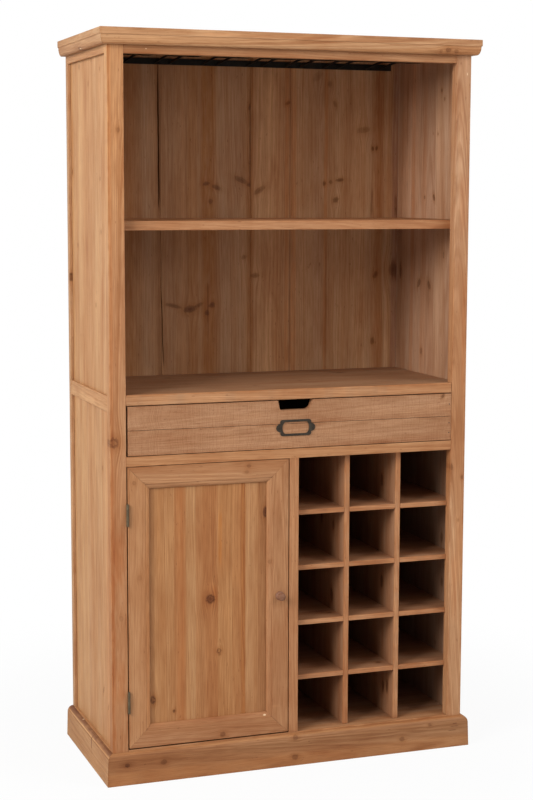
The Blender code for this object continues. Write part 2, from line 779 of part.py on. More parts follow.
def add_drawer_guides():
    """L-shaped runners beside the drawer, whose feet stop it at the back."""
    inner = OPEN_X - DRAWER_SIDE_IN + GUIDE_PLAY
    low = DRAWER_FLOOR_Z + CLEAR
    outer = WALL_X - CLEAR
    for side, label in ((-1, "left"), (1, "right")):
        section = [
            (inner, BEHIND_STILE_Y),
            (outer, BEHIND_STILE_Y),
            (outer, BOARD_BACK_Y),
            (inner - STOP_W, BOARD_BACK_Y),
            (inner - STOP_W, STOP_Y),
            (inner, STOP_Y),
        ]
        outline = [(side * x, y) for x, y in section]
        prism("%s_drawer_guide" % label, PINE, outline, "Z", (low, low + GUIDE_H))


def add_label_holder():
    """Flat metal frame with an ear at each side, held by two round-headed pins."""
    centre_z = DRAWER_SEAM_Z - LABEL_DROP
    half_w = LABEL_W / 2
    half_h = LABEL_H / 2
    outline = []
    for turn, across, up in ((0, 1, 1), (90, -1, 1), (180, -1, -1), (270, 1, -1)):
        corner_x = PULL_X + across * (half_w - LABEL_CORNER_R)
        corner_z = centre_z + up * (half_h - LABEL_CORNER_R)
        radii = (LABEL_CORNER_R, LABEL_CORNER_R)
        outline += arc((corner_x, corner_z), radii, turn, turn + 90, CURVE_STEPS // 2)
    plate_y = (-CLEAR - LABEL_T, -CLEAR)
    holder = prism("label_holder", BRONZE, outline, "Y", plate_y)
    ear = [(EAR_R, -plate_y[1]), (EAR_R, -plate_y[0])]
    pin = [
        (LABEL_PIN_R, -LABEL_PIN_L),
        (LABEL_PIN_R, LABEL_T),
        (LABEL_PIN_HEAD_R, LABEL_T),
        (0.8 * LABEL_PIN_HEAD_R, LABEL_T + 0.6 * LABEL_PIN_HEAD_H),
        (0, LABEL_T + LABEL_PIN_HEAD_H),
    ]
    hole_r = LABEL_PIN_R + CLEAR
    hole = [(hole_r, -LABEL_PIN_L - CLEAR), (hole_r, LABEL_T)]
    for side in (-1, 1):
        round_ear = turned_mesh("ear", ear, (PULL_X + side * half_w, 0, centre_z), (0, -1, 0), EAR_STEPS)
        spot = (PULL_X + side * LABEL_PIN_OUT, 0, centre_z)
        round_pin = turned_mesh("pin", pin, spot, (0, -1, 0), LABEL_PIN_STEPS)
        combine(holder, [round_ear, round_pin], "UNION")
        pin_hole = turned_mesh("hole", hole, spot, (0, -1, 0), LABEL_PIN_STEPS)
        combine(pieces["drawer_lower_front"], [pin_hole], "DIFFERENCE")
    bow = (WINDOW_W - WINDOW_FLAT_W) / 2
    flat = WINDOW_FLAT_W / 2
    window = arc((PULL_X + flat, centre_z), (bow, WINDOW_H / 2), -90, 90, CURVE_STEPS)
    window += arc((PULL_X - flat, centre_z), (bow, WINDOW_H / 2), 90, 270, CURVE_STEPS)
    opening = prism_mesh("window", window, "Y", (plate_y[0] - CLEAR, plate_y[1] + CLEAR))
    combine(holder, [opening], "DIFFERENCE")


# Stemware rack

def rod_mesh(x, path):
    """Round rod that follows a path of (y, z) points at one x."""
    loops = []
    for index, (y, z) in enumerate(path):
        before = path[max(index - 1, 0)]
        after = path[min(index + 1, len(path) - 1)]
        slope = math.atan2(after[1] - before[1], after[0] - before[0])
        loop = []
        for corner in range(ROD_SIDES):
            angle = 2 * math.pi * corner / ROD_SIDES
            lift = ROD_R * math.sin(angle)
            loop.append((x + ROD_R * math.cos(angle), y - lift * math.sin(slope), z + lift * math.cos(slope)))
        loops.append(loop)
    return loft_mesh("rod", loops)


def add_stemware_rack():
    """Welded rack: flat bars on the frieze's back and on the back wall, arched rods between them."""
    bar_x = (-OPEN_X + CLEAR, OPEN_X - CLEAR)
    bar_z = (CEILING_Z - RACK_BAR_DROP, CEILING_Z - RACK_BAR_DROP + RACK_BAR_H)
    front_y = (FRIEZE_T + CLEAR, FRIEZE_T + CLEAR + RACK_BAR_T)
    back_y = (BOARD_BACK_Y - RACK_BAR_T, BOARD_BACK_Y)
    rack = box("stemware_rack", BLACK_STEEL, bar_x, front_y, bar_z)
    start = front_y[1] - RACK_BAR_T / 2
    end = back_y[0] + RACK_BAR_T / 2
    path = [(start + share * (end - start), CEILING_Z - drop) for share, drop in ROD_OUTLINE]
    parts = [box_mesh("bar", bar_x, back_y, bar_z)]
    for share in ROD_PAIR_SHARES:
        for side in (-1, 1):
            parts.append(rod_mesh(share * WALL_X + side * ROD_SPREAD / 2, path))
    combine(rack, parts, "UNION")


def set_origin(made, origin):
    """Move a piece's origin without moving its shape."""
    made.data.transform(Matrix.Translation(-Vector(origin)))
    made.location = Vector(origin)


def place_pieces():
    """Centre the cabinet and put the origins of moving pieces on their joints."""
    door_axis = (HINGE_X, HINGE_Y, DOOR_BOTTOM)
    drawer_axis = (0, 0, DRAWER_FLOOR_Z)
    for name, made in pieces.items():
        if name.startswith("door_") or name.endswith("_door_leaf"):
            set_origin(made, door_axis)
        elif name.startswith("drawer_") or name == "label_holder":
            set_origin(made, drawer_axis)
        made.location.y += FACE_Y


add_carcass()
add_bottle_grid()
add_cupboard_inside()
add_door_frame()
add_knob()
add_hinge("upper", DOOR_TOP - HINGE_INSET)
add_hinge("lower", DOOR_BOTTOM + HINGE_INSET)
add_drawer_front()
add_drawer_box()
add_drawer_guides()
add_label_holder()
add_stemware_rack()
place_pieces()
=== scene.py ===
"""Looks of the storage cabinet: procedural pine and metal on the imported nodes, screws and nails,
camera, light and floor. Metres, in the row frame."""
import math
import random
from collections import namedtuple

import bmesh
import bpy
from mathutils import Matrix, Vector


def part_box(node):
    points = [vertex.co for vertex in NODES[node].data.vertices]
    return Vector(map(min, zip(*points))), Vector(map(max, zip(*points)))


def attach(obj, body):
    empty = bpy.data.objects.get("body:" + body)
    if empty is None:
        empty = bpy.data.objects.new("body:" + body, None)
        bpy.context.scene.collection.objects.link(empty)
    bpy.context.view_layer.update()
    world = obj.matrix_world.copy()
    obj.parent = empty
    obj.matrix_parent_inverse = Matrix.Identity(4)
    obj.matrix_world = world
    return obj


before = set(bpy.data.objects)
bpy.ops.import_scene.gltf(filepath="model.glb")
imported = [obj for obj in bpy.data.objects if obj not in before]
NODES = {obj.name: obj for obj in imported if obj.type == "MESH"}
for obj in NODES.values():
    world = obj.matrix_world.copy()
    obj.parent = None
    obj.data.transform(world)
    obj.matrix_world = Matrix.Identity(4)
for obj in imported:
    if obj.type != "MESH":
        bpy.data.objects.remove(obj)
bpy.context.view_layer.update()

# Tones of the wood, in linear light
STILE = (0.510, 0.272, 0.137)
FRIEZE = (0.427, 0.212, 0.097)
SIDE = (0.546, 0.312, 0.154)
PANEL = (0.436, 0.226, 0.101)
FRAME = (0.441, 0.221, 0.104)
DOOR_STILE = (0.475, 0.243, 0.113)
DRAWER = (0.422, 0.220, 0.114)
CORNICE = (0.572, 0.338, 0.181)
CORNICE_SIDE = (0.495, 0.283, 0.142)
BACK = (0.500, 0.282, 0.143)
BASE = (0.357, 0.172, 0.076)
BASE_SIDE = (0.467, 0.255, 0.116)
SHELF = (0.464, 0.228, 0.107)
RAIL = (0.490, 0.253, 0.120)
WORKTOP = (0.370, 0.213, 0.121)
INSIDE = (0.360, 0.190, 0.095)
GRID = (0.370, 0.194, 0.106)
KNOB = (0.270, 0.138, 0.086)
# Bare wood, also the colour of the painted highlight on the knob's foot
BARE_WOOD_AND_HIGHLIGHT = (0.74, 0.53, 0.33, 1.0)

# Colour factors of streaks and stains, some also used for painted shade
AMBER = (1.00, 0.84, 0.60)
RED = (1.02, 0.84, 0.68)
GREY = (1.02, 1.08, 1.20)
PALE = (1.16, 1.18, 1.18)
DIM = (0.80, 0.74, 0.68)
DARK = (0.52, 0.42, 0.36)
PURPLE = (0.72, 0.62, 0.72)
BLACK = (0.12, 0.09, 0.08)
WALL_INNER_TINT = (0.82, 0.89, 1.15)
# Painted shade on the face of the lower right panel that looks into the cells
CELL_WALL_SHADE = (0.58, 0.63, 0.86)

# A knot: its place along and across the grain, radius, darkness, length over width, turn in
# degrees and the darkness of its heart against its outline
Knot = namedtuple("Knot", "at over radius dark stretch turn heart", defaults=(1.25, 0.0, 1.0))
# A soft-edged streak or stain, also used for painted light and shade: middle and half width across the grain,
# colour factor, share, and where it is not full length, its middle and half length along the grain
Patch = namedtuple("Patch", "over half tint share at reach", defaults=(1.0, None, None))
# A crack: place across the grain at its start and end, start, end and width
Crack = namedtuple("Crack", "near far start end width")


class Graph:
    """Shader arithmetic written as calls. A value is a number, a tuple or another node's output."""

    def __init__(self, tree):
        self.tree = tree

    def feed(self, socket, value):
        if isinstance(value, bpy.types.NodeSocket):
            self.tree.links.new(value, socket)
        else:
            socket.default_value = value

    def make(self, kind, inputs=(), **settings):
        node = self.tree.nodes.new(kind)
        for key, value in settings.items():
            setattr(node, key, value)
        for key, value in dict(inputs).items():
            self.feed(node.inputs[key], value)
        return node

    def math(self, operation, *values):
        inputs = dict(enumerate(values))
        return self.make("ShaderNodeMath", inputs, operation=operation).outputs[0]

    def add(self, *values):
        total = values[0]
        for value in values[1:]:
            total = self.math("ADD", total, value)
        return total

    def times(self, *values):
        total = values[0]
        for value in values[1:]:
            total = self.math("MULTIPLY", total, value)
        return total

    def less(self, a, b):
        return self.math("SUBTRACT", a, b)

    def ramp(self, value, start, end, low=0.0, high=1.0):
        """low before start, high after end, smooth between them."""
        inputs = {"Value": value, "From Min": start, "From Max": end, "To Min": low, "To Max": high}
        return self.make("ShaderNodeMapRange", inputs, interpolation_type="SMOOTHSTEP").outputs[0]

    def join(self, x, y, z):
        return self.make("ShaderNodeCombineXYZ", {0: x, 1: y, 2: z}).outputs[0]

    def noise(self, vector, detail=0.0, roughness=0.5):
        inputs = {"Vector": vector, "Scale": 1.0, "Detail": detail, "Roughness": roughness}
        return self.make("ShaderNodeTexNoise", inputs).outputs["Fac"]

    def noise_along(self, value, detail=0.0, roughness=0.5):
        inputs = {"W": value, "Scale": 1.0, "Detail": detail, "Roughness": roughness}
        return self.make("ShaderNodeTexNoise", inputs, noise_dimensions="1D").outputs["Fac"]

    def wander(self, value, size):
        """A length that swings by size either way around nothing."""
        return self.times(self.less(value, 0.5), 2.0 * size)

    def mix(self, share, a, b, blend="MIX"):
        node = self.make("ShaderNodeMix", {0: share}, data_type="RGBA", blend_type=blend)
        self.feed(node.inputs[6], a)
        self.feed(node.inputs[7], b)
        return node.outputs[2]

    def tint(self, colour, share, factor):
        """colour times factor, by share."""
        return self.mix(share, colour, (*factor, 1.0), blend="MULTIPLY")

    def box_edge(self, point, low, high):
        """Distance to the nearest edge of a box, from a point on its surface."""
        gaps = []
        for value, a, b in zip(point, low, high):
            gaps.append(self.less((b - a) / 2, self.math("ABSOLUTE", self.less(value, (a + b) / 2))))
        near = self.math("MINIMUM", gaps[0], gaps[1])
        far = self.math("MAXIMUM", gaps[0], gaps[1])
        return self.math("MAXIMUM", near, self.math("MINIMUM", far, gaps[2]))


def new_group(name, takes, gives):
    """A shader node group; takes and gives map socket names to kinds."""
    tree = bpy.data.node_groups.new(name, "ShaderNodeTree")
    for socket, kind in takes.items():
        tree.interface.new_socket(socket, in_out="INPUT", socket_type="NodeSocket" + kind)
    for socket, kind in gives.items():
        tree.interface.new_socket(socket, in_out="OUTPUT", socket_type="NodeSocket" + kind)
    return Graph(tree), tree.nodes.new("NodeGroupInput").outputs, tree.nodes.new("NodeGroupOutput")


def floats(*names):
    return {name: "Float" for name in names}


# Noise fields of the pine: scale along and across the grain, offset, detail and roughness
MEANDER = (1.1, 7.0, 1.31)
RIPPLE = (7.0, 40.0, 2.17, 1.0)
FADE = (3.0, 25.0, 4.1)
FIBRE = (14.0, 560.0, 5.3, 2.0, 0.6)
PORE = (26.0, 1100.0, 7.7, 1.0)
BLOTCH = (4.5, 17.0, 8.9, 3.0, 0.6)
STAIN = (6.0, 34.0, 3.3, 2.0, 0.6)
FLECK = (60.0, 190.0, 4.7, 1.0)
WORN = (9.0, 60.0, 6.6, 2.0)
TOOTH = (9.0, 30.0, 6.1)
DRAG = (55.0, 300.0, 9.7, 1.0)
FUZZ = (240.0, 330.0, 2.9, 1.0)
# How far the growth rings swing
MEANDER_SIZE = 0.025
RIPPLE_SIZE = 0.0016
# Streaks across the rings and saw marks along the grain, per metre
BROAD_RATE = 30.0
MIDDLE_RATE = 95.0
FINE_RATE = 380.0
SAW_RATE = 330.0
# Colour factors of the pine's layers
LATE_WOOD = (0.70, 0.54, 0.42)
BROAD_DARK = (0.86, 0.72, 0.58)
BROAD_PALE = (1.04, 1.10, 1.16)
MIDDLE_DARK = (0.88, 0.79, 0.70)
FINE_DARK = (0.84, 0.77, 0.70)
FINE_PALE = (1.08, 1.09, 1.10)
BLOTCH_DARK = (0.88, 0.80, 0.73)
BLOTCH_PALE = (1.09, 1.09, 1.08)
STAIN_DARK = (0.84, 0.74, 0.66)
WORN_PALE = (1.16, 1.20, 1.24)
FIBRE_DARK = (0.85, 0.80, 0.75)
PORE_DARK = (0.68, 0.60, 0.54)
FLECK_DARK = (0.58, 0.48, 0.42)
SAW_DARK = (0.88, 0.83, 0.79)
FUZZ_DARK = (0.86, 0.81, 0.77)


def pine_group():
    """Growth rings of a log cut by the board, with streaks, fibres and blotches."""
    takes = floats("Along", "Across", "Depth", "Shift", "Pith", "Spacing", "Slant", "Late", "Bands", "Sawn")
    takes["Tone"] = "Color"
    g, i, out = new_group("pine", takes, {"Color": "Color", "Roughness": "Float", "Height": "Float"})
    along, across, depth, shift = i["Along"], i["Across"], i["Depth"], i["Shift"]

    def field(lengthwise, sidewise, offset, detail=0.0, roughness=0.5):
        move = g.times(shift, offset)
        return g.noise(g.join(g.add(g.times(along, lengthwise), move),
                              g.add(g.times(across, sidewise), move),
                              g.times(depth, sidewise)), detail, roughness)

    meander = g.wander(field(*MEANDER), MEANDER_SIZE)
    ripple = g.wander(field(*RIPPLE), RIPPLE_SIZE)
    sideways = g.add(across, meander)
    below = g.add(depth, i["Pith"])
    radius = g.math("SQRT", g.add(g.times(sideways, sideways), g.times(below, below)))
    radius = g.add(radius, g.times(i["Slant"], along), ripple)
    ring = g.add(g.math("DIVIDE", radius, i["Spacing"]), g.times(shift, 3.7))
    ring = g.add(ring, g.times(g.noise_along(g.times(ring, 0.37)), 1.8))
    part = g.math("FRACT", ring)
    late = g.times(g.ramp(part, 0.15, 0.86), g.ramp(part, 1.0, 0.88))
    strength = g.ramp(g.noise_along(g.add(g.times(ring, 0.21), 40.0)), 0.30, 0.72, 0.25, 1.0)
    fade = g.ramp(field(*FADE), 0.30, 0.65, 0.45, 1.0)
    late = g.times(late, strength, fade, i["Late"])

    streak_at = g.add(radius, g.times(shift, 0.83))
    broad = g.noise_along(g.times(streak_at, BROAD_RATE), 1.0)
    middle = g.noise_along(g.add(g.times(streak_at, MIDDLE_RATE), 9.0), 1.0)
    fine = g.noise_along(g.add(g.times(streak_at, FINE_RATE), 5.0), 1.0)
    fibre = field(*FIBRE)
    pore = g.ramp(field(*PORE), 0.64, 0.74)
    blotch = field(*BLOTCH)
    fleck = g.ramp(field(*FLECK), 0.71, 0.80)
    worn = g.ramp(field(*WORN), 0.60, 0.80)
    tooth = g.noise_along(g.add(g.times(along, SAW_RATE), g.times(field(*TOOTH), 5.0)), 1.0)
    saw = g.times(g.ramp(tooth, 0.42, 0.66), g.ramp(field(*DRAG), 0.35, 0.60, 0.4, 1.0), i["Sawn"])
    fuzz = g.times(g.ramp(field(*FUZZ), 0.55, 0.70), i["Sawn"])

    layers = (
        (late, LATE_WOOD),
        (g.times(g.ramp(broad, 0.35, 0.70), i["Bands"]), BROAD_DARK),
        (g.times(g.ramp(broad, 0.52, 0.25), i["Bands"]), BROAD_PALE),
        (g.times(g.ramp(middle, 0.40, 0.75), i["Bands"]), MIDDLE_DARK),
        (g.times(g.ramp(fine, 0.42, 0.70), 0.6), FINE_DARK),
        (g.times(g.ramp(fine, 0.46, 0.28), 0.6), FINE_PALE),
        (g.ramp(blotch, 0.42, 0.68), BLOTCH_DARK),
        (g.ramp(blotch, 0.46, 0.26), BLOTCH_PALE),
        (g.times(g.ramp(field(*STAIN), 0.56, 0.78), 0.7), STAIN_DARK),
        (g.times(worn, 0.35), WORN_PALE),
        (g.ramp(fibre, 0.40, 0.66), FIBRE_DARK),
        (g.times(pore, 0.6), PORE_DARK),
        (g.times(fleck, 0.6), FLECK_DARK),
        (saw, SAW_DARK),
        (g.times(fuzz, 0.6), FUZZ_DARK))
    colour = i["Tone"]
    for share, factor in layers:
        colour = g.tint(colour, share, factor)

    rough = g.add(0.50, g.times(fibre, 0.16), g.times(late, -0.08), g.times(saw, 0.15))
    height = g.add(g.times(fibre, 0.5), g.times(late, 0.35), g.times(pore, -0.5), g.times(saw, -1.2),
                   g.times(fuzz, -0.8), g.times(fleck, -0.9))
    g.feed(out.inputs["Color"], colour)
    g.feed(out.inputs["Roughness"], rough)
    g.feed(out.inputs["Height"], height)
    return g.tree


# A knot's ragged outline, and how strongly and how far it pushes the grain aside
KNOT_RAG = 1.2
PUSH_SHARE = 0.86
PUSH_FALL = -0.16
PUSH_LENGTHWISE = 0.30


def knot_group():
    """One knot: pushes the grain aside, and adds its heart, outline and stained surround."""
    gives = floats("Push", "Heart", "Rim", "Halo")
    takes = floats("Along", "Across", "Rag", "At", "Over", "Radius", "Dark", "Stretch", "Cos", "Sin",
                   "Weight", *gives)
    g, i, out = new_group("knot", takes, gives)
    up = g.less(i["Along"], i["At"])
    side = g.less(i["Across"], i["Over"])
    turned_up = g.add(g.times(up, i["Cos"]), g.times(side, i["Sin"]))
    turned_side = g.less(g.times(side, i["Cos"]), g.times(up, i["Sin"]))
    lengthwise = g.math("DIVIDE", turned_up, g.times(i["Radius"], i["Stretch"]))
    sidewise = g.math("DIVIDE", turned_side, i["Radius"])
    squared = g.add(g.times(lengthwise, lengthwise), g.times(sidewise, sidewise))
    away = g.add(g.math("SQRT", squared), g.times(g.less(i["Rag"], 0.5), KNOT_RAG))
    plain_up = g.math("DIVIDE", up, i["Radius"])
    plain_side = g.math("DIVIDE", side, i["Radius"])
    near = g.math("EXPONENT", g.times(g.add(g.times(plain_up, plain_up, PUSH_LENGTHWISE),
                                            g.times(plain_side, plain_side)), PUSH_FALL))
    g.feed(out.inputs["Push"], g.add(i["Push"], g.times(plain_side, i["Radius"], near, PUSH_SHARE)))
    heart = g.times(g.ramp(away, 1.25, 0.15), i["Dark"], i["Weight"])
    g.feed(out.inputs["Heart"], g.math("MAXIMUM", i["Heart"], heart))
    broken = g.ramp(i["Rag"], 0.36, 0.60, 0.60, 1.0)
    rim = g.times(g.ramp(away, 0.45, 0.85), g.ramp(away, 1.45, 0.95), i["Dark"], broken)
    g.feed(out.inputs["Rim"], g.math("MAXIMUM", i["Rim"], rim))
    halo = g.times(g.ramp(away, 3.4, 0.9), g.ramp(i["Dark"], 0.0, 1.0, 0.25, 0.9))
    g.feed(out.inputs["Halo"], g.math("MAXIMUM", i["Halo"], halo))
    return g.tree


PINE = pine_group()
KNOT = knot_group()
AXES = {"x": 0, "y": 1, "z": 2}


def principled(name):
    material = bpy.data.materials.new(name)
    material.use_nodes = True
    return material, Graph(material.node_tree), material.node_tree.nodes["Principled BSDF"]


# How far a patch sways, and the half width from which on it sways in full
SWAY_SIZE = 0.006
FULL_SWAY = 0.012
# Where a patch starts and is full, as shares of its half width and half length
PATCH_EDGE = (1.35, 0.55)
PATCH_END = (1.3, 0.55)
# Where a seam, the darkening near an edge and the wear on it start and are full
SEAM_WIDTH = (0.0011, 0.0003)
EDGE_DARK_WIDTH = (0.0090, 0.0015)
WEAR_WIDTH = (0.0016, 0.0004)
# Colour factors of seams, knots, the darkening near edges and wear
SEAM_DARK = (0.66, 0.54, 0.46)
HALO_DARK = (0.85, 0.76, 0.64)
HEART_DARK = (0.38, 0.28, 0.21)
RIM_DARK = (0.42, 0.33, 0.27)
EDGE_DARK = (0.84, 0.74, 0.65)
WEAR_PALE = (1.24, 1.27, 1.30)
# How far each stave's rings are moved across, in depth and through the noise
STAVE_ACROSS = 0.34
STAVE_PITH = 0.05
STAVE_SHIFT = 1.71
# How far the middle of the rings may lie to a side, in a board's widths, and below the board
CENTRE_RANGE = 1.1
LEAST_WIDTH = 0.05
PITH_RANGE = (0.03, 0.11)
# Unevenness of edges and of the darkening near them, per metre, and how far it moves an edge's line
UNEVEN_RATE = 90.0
PATCHY_RATE = 22.0
EDGE_WANDER = 0.0022
# The ragged outline of chips and of the knob's painted highlight, where they start and are full, and how
# strongly the bare wood shows in them
CHIP_AND_HIGHLIGHT_RAG = 1.4
CHIP_AND_HIGHLIGHT_EDGE = (1.0, 0.6)
CHIP_AND_HIGHLIGHT_SHARE = 0.85
# A crack's bends and tapered ends, its edges and stain in half widths, its lip and its depth
CRACK_BEND = 0.0014
CRACK_RISE = 0.06
CRACK_FALL = 0.12
CRACK_EDGE = (1.15, 0.75)
CRACK_STAIN = 5.0
LIP_WIDTH = (0.0012, 0.0004)
CRACK_DEEP = 4.0
WOOD_GLOSS = 0.22
WOOD_BUMP = {"Strength": 0.35, "Distance": 0.0007}


def add_knots(g, knots, along, across, shift):
    """Return the push of the grain and the masks of the hearts, outlines and surrounds."""
    rag = g.noise(g.join(g.times(along, 150.0), g.times(across, 210.0), shift), 1.0)
    found = {"Push": 0.0, "Heart": 0.0, "Rim": 0.0, "Halo": 0.0}
    for knot in knots:
        turn = math.radians(knot.turn)
        inputs = {"Along": along, "Across": across, "Rag": rag, "At": knot.at, "Over": knot.over,
                  "Radius": knot.radius, "Dark": knot.dark, "Stretch": knot.stretch,
                  "Cos": math.cos(turn), "Sin": math.sin(turn), "Weight": knot.heart, **found}
        spot = g.make("ShaderNodeGroup", node_tree=KNOT)
        for key, value in inputs.items():
            g.feed(spot.inputs[key], value)
        found = {key: spot.outputs[key] for key in found}
    return found


def add_patches(g, colour, patches, along, across, shift):
    """Lay soft-edged streaks and stains, and patches of painted light and shade, over the colour."""
    sway = g.wander(g.noise(g.join(g.times(along, 6.0), g.times(across, 9.0), shift), 2.0), SWAY_SIZE)
    ragged = g.noise(g.join(g.times(along, 30.0), g.times(across, 130.0), shift), 2.0)
    for patch in patches:
        swayed = g.add(across, g.times(sway, min(1.0, patch.half / FULL_SWAY)))
        off = g.math("ABSOLUTE", g.less(swayed, patch.over))
        share = g.times(g.ramp(off, *(patch.half * edge for edge in PATCH_EDGE)), patch.share)
        if patch.at is not None:
            off = g.math("ABSOLUTE", g.less(along, patch.at))
            share = g.times(share, g.ramp(off, *(patch.reach * end for end in PATCH_END)))
        share = g.times(share, g.ramp(ragged, 0.25, 0.60, 0.55, 1.0))
        colour = g.tint(colour, share, patch.tint)
    return colour


def add_staves(g, staves, tone, across, shift):
    """Return the staves' colour, seams, number and a random value for each stave."""
    colour = (*tone, 1.0)
    count = 0.0
    seam = None
    for edge, factor in staves:
        past = g.math("GREATER_THAN", across, edge)
        count = g.add(count, past)
        colour = g.mix(past, colour, (*[a * b for a, b in zip(tone, factor)], 1.0))
        line = g.ramp(g.math("ABSOLUTE", g.less(across, edge)), *SEAM_WIDTH)
        seam = line if seam is None else g.math("MAXIMUM", seam, line)
    dice = g.make("ShaderNodeTexWhiteNoise", {"W": g.add(count, shift)}, noise_dimensions="1D")
    return colour, seam, count, dice.outputs["Value"]


def add_chips(g, colour, height, chips, along, across, uneven):
    """Bare wood where the finish is knocked off. The knob's painted highlight on its foot is drawn the same
    way.
    """
    for at, side, length, breadth in chips:
        a = g.math("DIVIDE", g.less(along, at), length)
        b = g.math("DIVIDE", g.less(across, side), breadth)
        far = g.add(g.add(g.times(a, a), g.times(b, b)), g.times(g.less(uneven, 0.5), CHIP_AND_HIGHLIGHT_RAG))
        chipped_and_lit = g.ramp(far, *CHIP_AND_HIGHLIGHT_EDGE)
        colour = g.mix(g.times(chipped_and_lit, CHIP_AND_HIGHLIGHT_SHARE), colour, BARE_WOOD_AND_HIGHLIGHT)
        height = g.add(height, g.times(chipped_and_lit, -1.0))
    return colour, height


def add_cracks(g, colour, height, cracks, along, across):
    """Open cracks with stained sides, a pale lip and painted shade in the open part. The gloss that is
    returned stops in them.
    """
    gloss = WOOD_GLOSS
    for crack in cracks:
        bend = g.wander(g.noise_along(g.times(along, 13.0), 2.0), CRACK_BEND)
        line = g.ramp(along, crack.start, crack.end, crack.near, crack.far)
        taper = g.times(g.ramp(along, crack.start, crack.start + CRACK_RISE),
                        g.ramp(along, crack.end, crack.end - CRACK_FALL, 0.35, 1.0))
        side = g.less(g.add(across, bend), line)
        off = g.math("ABSOLUTE", side)
        half = g.times(taper, crack.width / 2)
        inside = g.times(g.math("GREATER_THAN", along, crack.start), g.math("LESS_THAN", along, crack.end))
        open_part = g.times(g.ramp(off, *(g.times(half, edge) for edge in CRACK_EDGE)), inside)
        stained = g.times(g.ramp(off, g.times(half, CRACK_STAIN), half), inside)
        lip = g.ramp(g.math("ABSOLUTE", g.add(side, crack.width)), *LIP_WIDTH)
        colour = g.tint(colour, g.times(stained, 0.6), DIM)
        colour = g.tint(colour, g.times(lip, inside), PALE)
        # Painted shade: the open part of the crack is painted near black.
        colour = g.tint(colour, open_part, BLACK)
        height = g.add(height, g.times(open_part, -CRACK_DEEP))
        gloss = g.times(g.less(1.0, open_part), gloss)
    return colour, height, gloss


def wood(name, axes, tone, spacing=0.0042, late=0.45, bands=0.5, sawn=0.0, slant=0.02, pith=None,
         centre=None, knots=(), staves=(), seams=0.6, patches=(), chips=(), cracks=(), lining=None,
         wear=0.35, dirt=0.6):
    """Pine for one piece. axes names the directions along the grain, across it and into the board.
    staves: (across, colour factor) from that line on, with seams as dark as seams says.
    chips: (along, across, length, width). lining: colour factor of the face at the low end of depth."""
    chance = random.Random(name)
    shift = chance.uniform(1.0, 9.0)
    material, g, shader = principled("pine_" + name)
    where = g.make("ShaderNodeTexCoord").outputs["Object"]
    split = g.make("ShaderNodeSeparateXYZ", {0: where}).outputs
    along, across, depth = (split[AXES[axis]] for axis in axes)
    low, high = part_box(name)
    over = AXES[axes[1]]
    into = AXES[axes[2]]
    width = high[over] - low[over]
    if centre is None:
        off = chance.uniform(-CENTRE_RANGE, CENTRE_RANGE)
        centre = (low[over] + high[over]) / 2 + off * max(width, LEAST_WIDTH)
    if pith is None:
        pith = chance.uniform(*PITH_RANGE)
    middle = (low[into] + high[into]) / 2
    pith -= middle

    found = add_knots(g, knots, along, across, shift) if knots else None
    place = g.less(g.less(across, found["Push"]) if found else across, centre)
    colour = (*tone, 1.0)
    own_shift, own_pith, seam = shift, pith, None
    if staves:
        colour, seam, count, pick = add_staves(g, staves, tone, across, shift)
        place = g.add(place, g.times(g.less(pick, 0.5), STAVE_ACROSS))
        own_pith = g.add(pith, g.times(pick, STAVE_PITH))
        own_shift = g.add(shift, g.times(count, STAVE_SHIFT))
    rings = g.make("ShaderNodeGroup", node_tree=PINE)
    inputs = {"Along": along, "Across": place, "Depth": depth, "Shift": own_shift, "Pith": own_pith,
              "Spacing": spacing, "Slant": slant, "Late": late, "Bands": bands, "Sawn": sawn, "Tone": colour}
    for key, value in inputs.items():
        g.feed(rings.inputs[key], value)
    colour, rough, height = (rings.outputs[key] for key in ("Color", "Roughness", "Height"))

    if patches:
        colour = add_patches(g, colour, patches, along, across, shift)
    if lining:
        # Tints the face at the low end of depth; on the lower right panel this tint is painted shade on the
        # cell walls.
        colour = g.tint(colour, g.math("LESS_THAN", depth, middle), lining)
    if seam is not None:
        broken = g.ramp(g.noise(g.join(g.times(along, 9.0), g.times(across, 30.0), shift), 1.0), 0.35, 0.60)
        colour = g.tint(colour, g.times(seam, broken, seams), SEAM_DARK)
    if found:
        colour = g.tint(colour, found["Halo"], HALO_DARK)
        colour = g.tint(colour, found["Heart"], HEART_DARK)
        colour = g.tint(colour, found["Rim"], RIM_DARK)
        height = g.add(height, g.times(found["Rim"], -1.0), g.times(found["Heart"], 0.5))
    uneven = g.noise(g.join(*(g.times(value, UNEVEN_RATE) for value in split)), 2.0)
    edge = g.add(g.box_edge(split, low, high), g.times(g.less(uneven, 0.5), EDGE_WANDER))
    patchy = g.ramp(g.noise(g.join(*(g.times(value, PATCHY_RATE) for value in split)), 2.0), 0.40, 0.62)
    # Darker near the piece's edges, in patches.
    colour = g.tint(colour, g.times(g.ramp(edge, *EDGE_DARK_WIDTH), patchy, dirt), EDGE_DARK)
    colour = g.tint(colour, g.times(g.ramp(edge, *WEAR_WIDTH), wear), WEAR_PALE)
    colour, height = add_chips(g, colour, height, chips, along, across, uneven)
    colour, height, gloss = add_cracks(g, colour, height, cracks, along, across)
    bump = g.make("ShaderNodeBump", {**WOOD_BUMP, "Height": height}).outputs[0]
    g.feed(shader.inputs["Base Color"], colour)
    g.feed(shader.inputs["Roughness"], rough)
    g.feed(shader.inputs["Normal"], bump)
    g.feed(shader.inputs["Specular IOR Level"], gloss)
    return material


# Metal's cloudy patches and fine scratches per metre, and how strong they are
CLOUD_RATE = 90.0
CLOUD_SHARE = 0.5
GRIT_RATE = 900.0
GRIT_DARK = (0.72, 0.72, 0.72)
METAL_BUMP = {"Strength": 0.25, "Distance": 0.0004}


